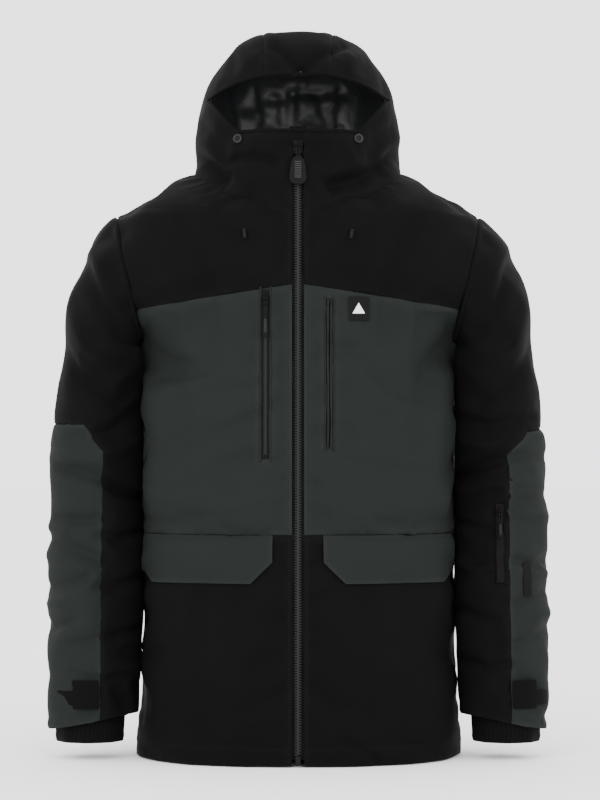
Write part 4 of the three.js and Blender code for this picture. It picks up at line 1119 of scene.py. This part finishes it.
def tube(name, path, radius, closed, sides):
    # a rolled edge or cord along a path of points, with its own round section
    path = np.array(path, float)
    path = path[np.linalg.norm(np.roll(path, -1, axis=0) - path, axis=1) > 0.2]
    ahead = np.roll(path, -1, axis=0) - np.roll(path, 1, axis=0)
    if not closed:
        ahead[0], ahead[-1] = path[1] - path[0], path[-1] - path[-2]
    ahead /= np.linalg.norm(ahead, axis=1)[:, None]
    upright = np.array([0, 1.0, 0])
    grid = []
    for p, t in zip(path, ahead):
        u = upright - t * (t @ upright)
        u /= max(np.linalg.norm(u), 1e-6)
        w = np.cross(t, u)
        a = np.linspace(0, 2 * math.pi, sides, endpoint=False)
        grid.append(p + radius * (np.cos(a)[:, None] * u + np.sin(a)[:, None] * w))
    if closed:
        grid.append(grid[0])
    uv = np.stack(np.meshgrid(np.arange(sides) * 1.0, np.arange(len(grid)) * 2.0), 2)
    piece = gridPiece(name, np.array(grid)[:, ::-1], True, uv)
    if closed:
        merge(piece, 0.01)
    else:
        b = bmesh.new()
        b.from_mesh(piece.data)
        bmesh.ops.holes_fill(b, edges=[e for e in b.edges if e.is_boundary], sides=sides)
        b.to_mesh(piece.data)
        b.free()
    return piece


for name, side in (("left", 1), ("right", -1)):
    path = sleeveAt(sleeveLine, [2.0], 3.6, 96)[0] * [side, 1, 1]
    path[:, 0] -= side * 2.2
    piece = tube(name + "ArmholeSeam", path, 4.2, True, 10)
    finish(piece, levels=0)
    coat(piece, blackShell)
    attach(piece, "torso")

outline = faceOutline(0.5)
path = []
for x, z in outline:
    hit = hoodTree.find_nearest(Vector((x, hoodFrontY(x, z, 2), z)))[0]
    path.append(np.array(hit) + [0, 1.0, 0])
piece = tube("hoodEdge", path, 2.6, True, 12)
finish(piece, levels=0)
coat(piece, blackShell)
rideHood(piece)
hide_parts("hood_edge_binding")

liningFolds = [([(-64, 906), (-58, 870), (-66, 826)], -8, 3.6),
               ([(-36, 900), (-32, 866), (-30, 826)], -7, 3.2),
               ([(-8, 908), (-12, 860), (-4, 826)], -8, 3.6), ([(6, 930), (4, 880), (8, 826)], 6, 3.6),
               ([(30, 896), (42, 862), (34, 826)], -8, 4.2), ([(62, 904), (56, 866), (66, 826)], -8, 3.6),
               ([(84, 900), (74, 860), (84, 828)], 7, 4.2), ([(-88, 900), (-78, 864), (-90, 828)], 7, 4.2),
               ([(-70, 888), (-30, 896), (10, 906), (60, 900)], -7, 3.6),
               ([(-20, 846), (-50, 872), (-74, 880)], -6, 4.6),
               ([(14, 838), (44, 850), (70, 846)], -6, 4.2), ([(16, 880), (40, 892), (70, 884)], 6, 4.2),
               ([(-92, 836), (-60, 846), (-24, 838)], 5, 4.2)]
liningLook = {"inset": 7.5, "columns": 96, "behind": 5.5}
dome = 800 + 165 * np.sin(np.linspace(0, math.pi / 2, 26)) ** (1 / 1.15)
liningRows = np.concatenate([np.arange(730, 800, 7.0), dome])
lining = hoodCloth("hoodLiningCloth", liningLook["inset"], liningLook["columns"], liningRows, 3)
points, normals = readPoints(lining), readNormals(lining)
for line, deep, wide in liningFolds:
    points = fold(points, normals, line, deep, wide, facing=1)
writePoints(lining, points)
tuck(lining, [hoodTree, bodyTree], liningLook["behind"])
finish(lining, 0.8)
coat(lining, liningCloth)
rideHood(lining)
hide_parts("hood_lining", "collar_lining")
print("hood made")

# pocket flaps
flap = {"inner": 33.0, "outer": 206.0, "low": 234.0, "chamferX": 62.0, "chamferZ": 262.0, "corner": 12.0,
        "thick": 3.4, "cell": 3.0, "gap": 1.0}


def bodyFront(x, z, lift):
    hit, normal, _, _ = bodyTree.ray_cast(Vector((x, -400, z)), Vector((0, 1, 0)))
    if hit is None:
        hit, normal, _, _ = bodyTree.find_nearest(Vector((x, -60, z)))
    normal = normal if normal.y < 0 else -normal
    return np.array(hit + normal * lift)


for name, side in (("left", 1), ("right", -1)):
    ring = bodyHalf(265.0, 0, True, 400)[0]
    ring = ring[ring[:, 0] > 0]
    away = np.concatenate([[0], np.cumsum(np.linalg.norm(np.diff(ring, axis=0), axis=1))])
    first = np.interp(flap["inner"], ring[:, 0], away)
    last = np.interp(flap["outer"], ring[:, 0], away)
    columns = np.interp(np.linspace(first, last, int((last - first) / flap["cell"])), away, ring[:, 0])
    rows = np.linspace(flap["low"], seams["flapZ"] + 0.5, 22)
    lift = flap["gap"] + flap["thick"]
    lifts = [lift - 3.0 * math.exp(-((rows[-1] - z) / 7) ** 2) for z in rows]
    grid = np.array([[bodyFront(side * x, z, up) for x in columns] for z, up in zip(rows, lifts)])
    smooth = grid.copy()
    for k in range(14):
        smooth[1:-1, 1:-1] = (smooth[1:-1, 1:-1] * 2 + smooth[:-2, 1:-1] + smooth[2:, 1:-1]
                              + smooth[1:-1, :-2] + smooth[1:-1, 2:]) / 6
        smooth[0, 1:-1] = (smooth[0, 1:-1] * 2 + smooth[0, :-2] + smooth[0, 2:]) / 4
        smooth[-1, 1:-1] = (smooth[-1, 1:-1] * 2 + smooth[-1, :-2] + smooth[-1, 2:]) / 4
    smooth[:, 0], smooth[:, -1] = smooth[:, 1] * 2 - smooth[:, 2], smooth[:, -2] * 2 - smooth[:, -3]
    smooth[:, :, 1] = np.minimum(smooth[:, :, 1], grid[:, :, 1] + 1.0)
    smooth[:, :, 2] = rows[:, None]
    smooth[:, 0, 0], smooth[:, 1, 0] = side * columns[0], side * columns[1]
    bulge = np.sin(np.linspace(0, math.pi, len(rows)))[:, None] * 1.6
    wave = 0.8 * np.sin(np.linspace(0, 9, len(columns)))[None, :] * np.linspace(1, 0.2, len(rows))[:, None]
    smooth[:, :, 1] -= bulge + wave
    uv = np.stack(np.meshgrid(np.linspace(0, last - first, len(columns)), rows), 2)
    grid = smooth
    if side < 0:
        grid, uv = grid[:, ::-1], uv[:, ::-1]
    piece = gridPiece(name + "Flap", grid, uv=uv)
    b = bmesh.new()
    b.from_mesh(piece.data)
    corners = [((flap["inner"], flap["chamferZ"]), (flap["chamferX"], flap["low"])),
               ((flap["outer"] - flap["corner"], flap["low"]), (flap["outer"], flap["low"] + flap["corner"]))]
    for (x0, z0), (x1, z1) in corners:
        left, right = sorted((x0, x1))
        heights = [z0, z1] if x0 < x1 else [z1, z0]

        def atCorner(c):
            return left - 6 < side * c.x < right + 6

        cut(b, (side * x0, 0, z0), (side * (z1 - z0), 0, -(x1 - x0)), lambda c: c.z < 275 and atCorner(c))
        centres = [(f, f.calc_center_median()) for f in b.faces]
        gone = [f for f, c in centres
                if atCorner(c) and c.z < np.interp(side * c.x, [left, right], heights) - 0.01]
        bmesh.ops.delete(b, geom=gone, context="FACES")
    b.to_mesh(piece.data)
    b.free()
    points, normals = readPoints(piece), readNormals(piece)
    edge = np.zeros(len(points), bool)
    b = bmesh.new()
    b.from_mesh(piece.data)
    for v in b.verts:
        edge[v.index] = v.is_boundary
    b.free()
    rim = near(points, edge, 7)
    stitch = np.exp(-((1 - rim) * 7 - 5) ** 2 / 1.2)
    points = points - normals * (1.2 * rim ** 2 + 0.7 * stitch)[:, None]
    writePoints(piece, points)
    markSeam(piece, rim)
    finish(piece, flap["thick"])
    coat(piece, greyShell)
    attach(piece, "flap_" + name)
    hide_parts("pocket_flap_" + name)
print("flaps made")

# body lining, snow skirt, wind flap, pocket bags, hanger loop
inner = {"inset": 7.3, "columns": 60, "step": 12.0}


def ringPiece(name, rows, inset, columns, wave=0.0, seed=1):
    grid = []
    for z in rows:
        front, back = bodyHalf(z, inset, True, columns)[0], bodyHalf(z, inset, False, columns)[0]
        front = front[np.argsort(front[:, 0])]
        front = front[np.abs(front[:, 0]) > 9] if z < 812 else front
        back = back[np.argsort(back[:, 0])]
        left, right = front[front[:, 0] > 0], front[front[:, 0] < 0]
        grid.append(np.concatenate([resample(left, columns // 2), resample(back[::-1], columns),
                                    resample(right, columns // 2)]))
    grid = np.array(grid)
    centre = np.array([0, -20, 0])
    out = (grid - centre) * [1, 1, 0]
    out /= np.linalg.norm(out, axis=2, keepdims=True)
    if wave:
        waves = ripple(grid.reshape(-1, 3), 34, seed).reshape(grid.shape[:2])
        grid = grid - out * (0.5 + 0.5 * waves)[:, :, None] * wave
    return gridPiece(name, grid[:, ::-1])


def resample(line, count):
    away = np.concatenate([[0], np.cumsum(np.linalg.norm(np.diff(line, axis=0), axis=1))])
    at = np.linspace(0, away[-1], count)
    return np.array([np.interp(at, away, line[:, k]) for k in range(3)]).T


piece = ringPiece("bodyLining", np.arange(14, 735, inner["step"]), inner["inset"], inner["columns"], 2.0)
tuck(piece, [bodyTree, hoodTree], 6.5)
b = bmesh.new()
b.from_mesh(piece.data)
centres = [(f, f.calc_center_median()) for f in b.faces]
gone = [f for f, c in centres
        if abs(c.x) > 206 - max(0, c.z - 700) * 0.6 and c.z > 560 and abs(c.y + 10) < 62]
bmesh.ops.delete(b, geom=gone, context="FACES")
b.to_mesh(piece.data)
b.free()
finish(piece, 0.8)
coat(piece, liningCloth)
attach(piece, "torso")
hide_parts("body_lining")

piece = ringPiece("snowSkirt", np.linspace(236, 329, 12), 11.5, 60, 3.0, 8)
tuck(piece, [bodyTree], 10.5)
finish(piece, 0.8)
coat(piece, liningCloth)
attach(piece, "torso")
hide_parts("snow_skirt")


def behindFront(x, z, inset):
    # a point on the inner side of the front cloth
    ring = bodyHalf(z, inset, True, 160)[0]
    ring = ring[np.argsort(ring[:, 0])]
    return np.array([x, np.interp(x, ring[:, 0], ring[:, 1]), z])


def bagPiece(name, xs, zs, inset, thick, node, material):
    grid = np.array([[behindFront(x, z, inset) for x in np.linspace(*xs, 10)] for z in np.linspace(*zs, 22)])
    made = gridPiece(name, grid)
    tuck(made, [bodyTree, hoodTree], 4.6)
    finish(made, thick)
    coat(made, material)
    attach(made, "torso")
    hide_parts(node)
    return made


for name, side in (("Left", 1), ("Right", -1)):
    bagPiece("handBag" + name, sorted((side * 30, side * 165)), (60, 285), 5.2, 0.8,
             "hand_pocket_bag_" + name.lower(), liningCloth)
    bagPiece("chestBag" + name, sorted((side * 24, side * 118)), (404, 596), 5.2, 0.8,
             "chest_pocket_bag_" + name.lower(), liningCloth)
bagPiece("windFlap", (-22, 22), (8, 716), 5.2, 1.0, "wind_flap", blackShell)

low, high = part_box("hanger_loop")
loop = {"half": (high.x - low.x) / 2 - 0.002, "y0": low.y + 0.0015, "y1": high.y - 0.001, "wide": 0.0085,
        "thick": 0.0011}
path = [((t * 2 - 1) * loop["half"], loop["y1"] - (loop["y1"] - loop["y0"]) * math.sin(math.pi * t) ** 0.7)
        for t in np.linspace(0, 1, 25)]
middle = (low.z + high.z) / 2
grid = np.array([[(x, y, middle + h * loop["wide"] / 2) for x, y in path] for h in (-1, -0.9, 0, 0.9, 1)])
piece = gridPiece("hangerLoop", grid)
alone(piece)
m = piece.modifiers.new("thickness", "SOLIDIFY")
m.thickness = loop["thick"]
m.offset = 0
bpy.ops.object.modifier_apply(modifier=m.name)
coat(piece, blackShell)
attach(piece, "torso")
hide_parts("hanger_loop")
print("linings made")

# rigid bits: zips, sliders, pulls, eyelets, cord ends, badge
zipSize = {"lean": math.atan(0.068836 / 0.997628), "pitch": 3.4}


def frontY(z):
    # the zip leans with the front edge of the jacket
    return -165.0 + 0.069 * z


def strip(name, x0, x1, y, z0, z1, thick, material, node=None):
    zs = np.arange(z0, z1 + 0.1, (z1 - z0) / max(1, round((z1 - z0) / 8)))
    xs = np.linspace(x0, x1, 4)
    grid = np.array([[(x, frontY(z) + y, z) for x in xs] for z in zs])
    piece = gridPiece(name, grid, uv=np.stack(np.meshgrid(xs, zs), 2))
    finish(piece, thick, levels=0)
    coat(piece, material)
    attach(piece, "torso")
    if node:
        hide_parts(node)
    return piece


for name, side in (("Left", 1), ("Right", -1)):
    x0, x1 = sorted((side * 0.9, side * 10.5))
    piece = strip("zipTape" + name, x0, x1, 5.2, 8, 812, 1.0, tapeCloth, "zip_tape_" + name.lower())


zipGarage = strip("zipGarage", -11, 11, 1.8, 806, 831, 2.0, blackShell)


def newBlock(name, size, bevel, segments=2):
    # a box of size (millimetres) about its middle, with rounded edges
    bpy.ops.object.select_all(action="DESELECT")
    bpy.ops.mesh.primitive_cube_add(size=1, location=(0, 0, 0))
    made = bpy.context.object
    made.name = made.data.name = name
    made.scale = (size[0] * 0.001, size[1] * 0.001, size[2] * 0.001)
    bpy.ops.object.transform_apply(scale=True)
    bpy.ops.object.mode_set(mode="EDIT")
    bpy.ops.mesh.select_all(action="SELECT")
    bpy.ops.mesh.bevel(offset=bevel * 0.001, segments=segments, affect="EDGES")
    bpy.ops.object.mode_set(mode="OBJECT")
    bpy.ops.object.shade_smooth_by_angle(angle=math.radians(40))
    return made


def joinPieces(pieces, name):
    bpy.ops.object.select_all(action="DESELECT")
    for one in pieces:
        one.select_set(True)
    bpy.context.view_layer.objects.active = pieces[0]
    bpy.ops.object.join()
    made = bpy.context.object
    made.name = made.data.name = name
    bpy.ops.object.transform_apply(location=True, rotation=True, scale=True)
    return made


def teethAlong(name, at, count, pitch, size, half, tilt, material):
    # two rows of teeth that mesh, one pitch apart in all, copied down the tape
    tooth = newBlock(name, size, min(size) * 0.28, 2)
    tooth.rotation_euler = (tilt, 0, 0)
    alone(tooth)
    bpy.ops.object.transform_apply(rotation=True, scale=True, location=True)
    base = readPoints(tooth)
    faces = [tuple(p.vertices) for p in tooth.data.polygons]
    allPoints, allFaces = [], []
    for k in range(count):
        x, y, z = at(k * pitch / 2)
        side = 1 if k % 2 else -1
        allFaces += [tuple(v + len(allPoints) * len(base) for v in f) for f in faces]
        allPoints.append(base + place([x + side * half, y, z]))
    mesh = bpy.data.meshes.new(name)
    mesh.from_pydata(np.concatenate(allPoints).tolist(), [], allFaces)
    made = bpy.data.objects.new(name, mesh)
    bpy.context.scene.collection.objects.link(made)
    bpy.data.objects.remove(tooth)
    alone(made)
    bpy.ops.object.shade_smooth_by_angle(angle=math.radians(40))
    coat(made, material)
    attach(made, "torso")
    return made


teethAlong("zipTeeth", lambda s: (0, frontY(15 + s) + 2.6, 15 + s), 458, zipSize["pitch"],
           (5.8, 2.4, 2.2), 1.4, -zipSize["lean"], toothPlastic)

low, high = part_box("zip_box")
boxPiece = newBlock("zipBox", [(high[k] - low[k]) * 1000 for k in range(3)], 1.6, 3)
boxPiece.location = (low + high) / 2
coat(boxPiece, blackPlastic)
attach(boxPiece, "torso")
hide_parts("zip_box")


def sliderPiece(name, at, half, length, deep, angle, body):
    # a front plate that tapers downwards, two side walls and the bridge that holds the pull
    x, y, z = at
    plate = newBlock(name, (half * 2, 2.2, length), 0.9, 3)
    for v in plate.data.vertices:
        if v.co.z < -length * 0.00025:
            v.co.x *= 0.78
    parts = [plate]
    for s in (1, -1):
        wall = newBlock(name, (1.4, deep, length * 0.86), 0.4)
        wall.location = (s * (half - 0.8) * 0.001, deep * 0.0005, 0)
        parts.append(wall)
        lug = newBlock(name, (1.5, 4.2, 5.2), 0.6)
        lug.location = (s * half * 0.00058, -0.0028, length * 0.0001)
        parts.append(lug)
    bar = newBlock(name, (half * 1.3, 1.5, 2.2), 0.5)
    bar.location = (0, -0.0046, length * 0.0001)
    parts.append(bar)
    made = joinPieces(parts, name)
    made.location = (x * 0.001, y * 0.001, z * 0.001)
    made.rotation_euler = (angle, 0, 0)
    coat(made, gunmetal)
    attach(made, body)
    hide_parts(body)


def pullPiece(name, at, gripWide, gripLong, thick, neckLong, ribs, angle, body):
    # hangs from its pivot: a metal ring or cord, then a moulded grip with a ribbed middle strip
    x, y, z = at
    bpy.ops.object.select_all(action="DESELECT")
    bpy.ops.mesh.primitive_cylinder_add(vertices=56, radius=1.0, depth=thick * 0.001,
                                        rotation=(math.pi / 2, 0, 0))
    grip = bpy.context.object
    bpy.ops.object.transform_apply(location=False, rotation=True, scale=False)
    for v in grip.data.vertices:
        wide, tall = (math.copysign(abs(c) ** 0.62, c) for c in (v.co.x, v.co.z))
        v.co.x = wide * gripWide * 0.0005 * (0.82 - 0.18 * tall if tall > -0.6 else 0.928)
        v.co.z = tall * gripLong * 0.0005
    bevel = grip.modifiers.new("rim", "BEVEL")
    bevel.width, bevel.segments, bevel.limit_method = thick * 0.00032, 3, "ANGLE"
    bpy.ops.object.modifier_apply(modifier="rim")
    bpy.ops.object.shade_smooth_by_angle(angle=math.radians(40))
    grip.location = (0, 0, -(neckLong + gripLong / 2) * 0.001)
    coat(grip, pullRubber)
    parts = [grip]
    for k in range(ribs):
        rib = newBlock(name, (gripWide * 0.34, 0.8, gripLong * 0.58 / ribs * 0.55), 0.25, 1)
        down = neckLong + gripLong * (0.2 + 0.62 * k / ribs)
        rib.location = (0, -(thick / 2 + 0.1) * 0.001, -down * 0.001)
        coat(rib, ribRubber)
        parts.append(rib)
    for s in (1, -1):
        bpy.ops.object.select_all(action="DESELECT")
        bpy.ops.mesh.primitive_cylinder_add(vertices=12, radius=0.0009, depth=(neckLong + 3) * 0.001)
        cord = bpy.context.object
        cord.location = (s * 0.0013, 0, -(neckLong / 2 + 0.5) * 0.001)
        coat(cord, pullRubber)
        parts.append(cord)
    made = joinPieces(parts, name)
    made.location = (x * 0.001, y * 0.001, z * 0.001)
    made.rotation_euler = (angle, 0, 0)
    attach(made, body)
    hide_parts(body)


ribRubber = moulded("ribbedPullRubber", "#191a1a", "#252626", 0.6)
sliderPiece("mainSlider", (0, -200.6, 35), 6.2, 19, 5.0, -zipSize["lean"], "main_slider")
pullPiece("mainPull", (0, -204.4, 35.3), 25.5, 37, 4.6, 13, 9, -zipSize["lean"], "main_pull")
sliderPiece("chestSlider", (-42.4, -214.0, -165.7), 4.3, 13, 3.0, -0.075, "chest_slider")
pullPiece("chestPull", (-42.4, -217.6, -166), 8.6, 28, 3.6, 20, 7, -0.03, "chest_pull")
sliderPiece("sleeveSlider", (268, -146.6, -443.4), 3.7, 11, 3.0, -0.158, "sleeve_slider")
pullPiece("sleevePull", (268, -149.7, -443), 7.0, 20, 3.2, 14, 5, -0.12, "sleeve_pull")


def onCloth(tree, x, z, lift):
    hit, normal, _, _ = tree.ray_cast(Vector((x, -500, z)), Vector((0, 1, 0)))
    if hit is None or hit.y > -20:
        hit = tree.find_nearest(Vector((x, -128, z)))[0]
        return np.array([x, hit.y - lift, z])
    normal = normal if normal.y < 0 else -normal
    return np.array(hit + normal * lift)


def layStrip(name, tree, x, z0, z1, half, lift, thick, material, body, nodeName, columns=5,
             wavy=0.0, rounds=6, cell=5.0):
    # a strip laid on the draped cloth, straightened a little as stiff tape is
    zs = np.linspace(z0, z1, max(3, int((z1 - z0) / cell)))
    xs = np.linspace(x - half, x + half, columns)
    grid = np.array([[onCloth(tree, u, z, lift) for u in xs] for z in zs])
    for k in range(rounds):
        grid[1:-1] = (grid[1:-1] * 2 + grid[:-2] + grid[2:]) / 4
    grid[:, :, 1] += (grid[:, :, 1].mean(axis=1, keepdims=True) - grid[:, :, 1]) * 0.5
    if wavy:
        grid[:, :, 1] -= wavy * (np.sin(zs / 9.0) + 0.6 * np.sin(zs / 4.3 + 1))[:, None]
    piece = gridPiece(name, grid, uv=np.stack(np.meshgrid(xs, zs), 2))
    finish(piece, thick, levels=0, offset=0)
    coat(piece, material)
    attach(piece, body)
    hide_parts(nodeName)
    return grid


def lips(name, tree, x, z0, z1, half, radius, material, body):
    # the folded edges of cloth beside a zip
    for s in (-1, 1):
        heights = np.linspace(z0, z1, max(4, int((z1 - z0) / 6)))
        path = [onCloth(tree, x + s * half, z, radius * 0.35) for z in heights]
        piece = tube(name + ("Inner" if s < 0 else "Outer"), path, radius, False, 8)
        finish(piece, levels=0)
        coat(piece, material)
        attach(piece, body)


tape = layStrip("chestZipTape", bodyTree, -42.4, 396, 616, 5.8, 0.7, 1.0, tapeCloth, "torso",
                "chest_zip_tape")
tapeLine = tape.mean(axis=1)


def chestTeethAt(s):
    z = 402 + s
    return (-42.4, float(np.interp(z, tapeLine[:, 2], tapeLine[:, 1])) - 0.9, z)


teethAlong("chestTeeth", chestTeethAt, 158, 2.6, (3.4, 1.6, 1.7), 0.9, -0.075, toothPlastic)
lips("chestZipLip", bodyTree, -42.4, 392, 620, 6.6, 1.5, greyShell, "torso")
layStrip("coatedZip", bodyTree, 41, 410, 604, 4.6, 0.4, 1.2, gloss, "torso", "coated_zip",
         wavy=0.2, rounds=4, cell=4.0)
for k, dx in enumerate((-2.0, 1.9)):
    path = [onCloth(bodyTree, 41 + dx + 0.35 * math.sin(z / 23 + k), z, 1.2 + 0.35 * math.sin(z / 11 + 2 * k))
            for z in np.arange(411, 604, 3.0)]
    piece = tube("coatedRoll" + "AB"[k], path, 2.1, False, 12)
    finish(piece, levels=0)
    coat(piece, gloss)
    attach(piece, "torso")
lips("coatedZipLip", bodyTree, 41, 406, 608, 5.6, 1.4, greyShell, "torso")
layStrip("sleeveZipTape", sleeveTrees["left"], 268, 232, 336, 5.0, 0.8, 1.0, tapeCloth, "forearm_left",
         "sleeve_zip_tape")
lips("sleeveZipLip", sleeveTrees["left"], 268, 230, 338, 5.6, 1.3, blackShell, "forearm_left")
layStrip("sleeveLabel", sleeveTrees["left"], 302, 216, 260, 5.0, 3.9, 1.0, badgeRubber, "forearm_left",
         "sleeve_label", columns=4, rounds=3, cell=6)
badgeGrid = layStrip("chestBadge", bodyTree, 79, 576, 606, 13, 1.6, 1.6, badgeRubber, "torso", "chest_badge",
                     columns=8, rounds=8, cell=3.5)


def badgePoint(x, z):
    # a point on the front of the badge
    zs, xs = badgeGrid[:, 0, 2], badgeGrid[0, :, 0]
    row = [float(np.interp(z, zs, badgeGrid[:, k, 1])) for k in range(len(xs))]
    return (x, float(np.interp(x, xs, row)) - 1.15, z)


corners = [(71, 585), (87, 585), (79, 599)]
mesh = bpy.data.meshes.new("badgePeak")
mesh.from_pydata([tuple(p) for p in place([badgePoint(x, z) for x, z in corners])], [], [(0, 1, 2)])
peak = bpy.data.objects.new("badgePeak", mesh)
bpy.context.scene.collection.objects.link(peak)
alone(peak)
m = peak.modifiers.new("thickness", "SOLIDIFY")
m.thickness = 0.0003
bpy.ops.object.modifier_apply(modifier=m.name)
coat(peak, badgeWhite)
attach(peak, "torso")

for name, side in (("Left", 1), ("Right", -1)):
    low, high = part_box("eyelet_" + name.lower())
    middle = np.array(low + high) / 2 * 1000 + origin + [0, 0, 5]
    hit, normal, _, _ = hoodTree.find_nearest(Vector(middle))
    normal = normal if normal.y < 0 else -normal
    turn = normal.to_track_quat("Z", "Y")
    bpy.ops.object.select_all(action="DESELECT")
    bpy.ops.mesh.primitive_torus_add(major_segments=40, minor_segments=10, major_radius=0.0047,
                                     minor_radius=0.0015)
    ring = bpy.context.object
    bpy.ops.object.shade_smooth()
    parts = [ring]
    for k in range(22):
        a = 2 * math.pi * k / 22
        knob = newBlock("knob", (1.5, 0.9, 1.6), 0.25, 1)
        knob.location = (0.0057 * math.cos(a), 0.0057 * math.sin(a), 0.0004)
        knob.rotation_euler = (0, 0, a)
        parts.append(knob)
    bpy.ops.object.select_all(action="DESELECT")
    bpy.ops.mesh.primitive_cylinder_add(vertices=28, radius=0.0034, depth=0.0008)
    disc = bpy.context.object
    for part in parts:
        coat(part, ringMetal)
    coat(disc, blackPlastic)
    parts.append(disc)
    made = joinPieces(parts, "eyelet" + name)
    made.rotation_euler = turn.to_euler()
    made.location = place(np.array(hit + normal * 0.9))
    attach(made, "torso")
    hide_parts("eyelet_" + name.lower())

    low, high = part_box("cord_end_" + name.lower())
    middle = np.array(low + high) / 2 * 1000 + origin
    hit, normal, _, _ = bodyTree.find_nearest(Vector(middle))
    bpy.ops.object.select_all(action="DESELECT")
    bpy.ops.mesh.primitive_cylinder_add(vertices=20, radius=0.0025, depth=0.0125)
    rod = bpy.context.object
    bpy.ops.object.mode_set(mode="EDIT")
    bpy.ops.mesh.select_all(action="SELECT")
    bpy.ops.mesh.bevel(offset=0.0006, segments=2, affect="EDGES")
    bpy.ops.object.mode_set(mode="OBJECT")
    bpy.ops.object.select_all(action="DESELECT")
    bpy.ops.mesh.primitive_torus_add(major_segments=20, minor_segments=8, major_radius=0.0024,
                                     minor_radius=0.0006)
    band = bpy.context.object
    band.location = (0, 0, 0.0035)
    made = joinPieces([rod, band], "cordEnd" + name)
    bpy.ops.object.shade_smooth_by_angle(angle=math.radians(40))
    made.rotation_euler = (-0.07, side * 0.12, 0)
    normal = normal if normal.y < 0 else -normal
    made.location = place(np.array(hit + normal * 2.6))
    coat(made, blackPlastic)
    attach(made, "torso")
    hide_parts("cord_end_" + name.lower())
print("zips and trims made")

# rows of stitches
stitch = {"long": 2.8, "gap": 1.0, "half": 0.32}


def stitches(name, path):
    # short raised threads end to end along a path on the torso
    path = np.array(path, float)
    away = np.concatenate([[0], np.cumsum(np.linalg.norm(np.diff(path, axis=0), axis=1))])
    points, faces = [], []
    for s in np.arange(0, away[-1] - stitch["long"], stitch["long"] + stitch["gap"]):
        a, b = (np.array([np.interp(t, away, path[:, k]) for k in range(3)]) for t in (s, s + stitch["long"]))
        ahead = (b - a) / np.linalg.norm(b - a)
        u = np.cross(ahead, [0, 1, 0])
        u = u / max(1e-6, np.linalg.norm(u)) * stitch["half"]
        w = np.cross(ahead, u)
        k = len(points)
        middle = (a + b) / 2
        points += [a, middle + u, middle + w, middle - u, middle - w, b]
        faces += [(k, k + 1 + i, k + 1 + (i + 1) % 4) for i in range(4)]
        faces += [(k + 5, k + 1 + (i + 1) % 4, k + 1 + i) for i in range(4)]
    mesh = bpy.data.meshes.new(name)
    mesh.from_pydata(place(points).tolist(), [], faces)
    piece = bpy.data.objects.new(name, mesh)
    bpy.context.scene.collection.objects.link(piece)
    alone(piece)
    bpy.ops.object.mode_set(mode="EDIT")
    bpy.ops.mesh.select_all(action="SELECT")
    bpy.ops.mesh.normals_make_consistent(inside=False)
    bpy.ops.object.mode_set(mode="OBJECT")
    coat(piece, thread)
    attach(piece, "torso")


for name, side in (("Left", 1), ("Right", -1)):
    for k, z in enumerate((25.0, 22.0)):
        path = [onCloth(bodyTree, side * x, z, 0.3) for x in np.arange(12, 204, 3.0)]
        stitches("hemStitch" + name + "AB"[k], path)
    path = [onCloth(bodyTree, side * 12.5, z, 0.3) for z in np.arange(14, 720, 4.0)]
    stitches("frontStitch" + name, path)

# floor, light and camera
floorHeight = -0.7695
bpy.ops.object.select_all(action="DESELECT")
bpy.ops.mesh.primitive_plane_add(size=60, location=(0, 0, floorHeight))
backdrop = bpy.context.object
backdrop.name = backdrop.data.name = "paleFloor"
paper, t = newMaterial("palePaper")
shader = node(t, "ShaderNodeBsdfPrincipled", Roughness=0.9)
shader.inputs["Base Color"].default_value = linear("#fbfbfb")
closeMaterial(t, shader)
coat(backdrop, paper)
backdrop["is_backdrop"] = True


def areaLight(name, location, aim, size, power):
    data = bpy.data.lights.new(name, "AREA")
    data.shape = "RECTANGLE"
    data.size, data.size_y = size
    data.energy = power
    lamp = bpy.data.objects.new(name, data)
    bpy.context.scene.collection.objects.link(lamp)
    lamp.location = location
    lamp.rotation_euler = (Vector(aim) - Vector(location)).to_track_quat("-Z", "Y").to_euler()


areaLight("keyLight", (-1.6, -3.2, 1.2), (0, -0.1, -0.3), (1.6, 2.0), 40)
areaLight("fillLight", (1.9, -3.2, 0.7), (0, -0.1, -0.4), (1.6, 2.2), 18)
areaLight("frontLight", (0.3, -4.2, 0.1), (0, -0.1, -0.2), (1.2, 1.2), 14)

world = bpy.data.worlds.new("softSurround")
bpy.context.scene.world = world
world.use_nodes = True
world.node_tree.nodes["Background"].inputs["Color"].default_value = linear("#e9e9ea")
world.node_tree.nodes["Background"].inputs["Strength"].default_value = 3.35

cameraData = bpy.data.cameras.new("frontCamera")
cameraData.lens = 116.8
cameraData.sensor_width = 36.0
cameraData.shift_x = 0.0025
cameraData.shift_y = 0.0695
camera = bpy.data.objects.new("frontCamera", cameraData)
bpy.context.scene.collection.objects.link(camera)
camera.location = (0, -3.58896, -0.368)
camera.rotation_euler = (math.radians(90), 0, 0)
bpy.context.scene.camera = camera

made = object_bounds()
print("scene made")
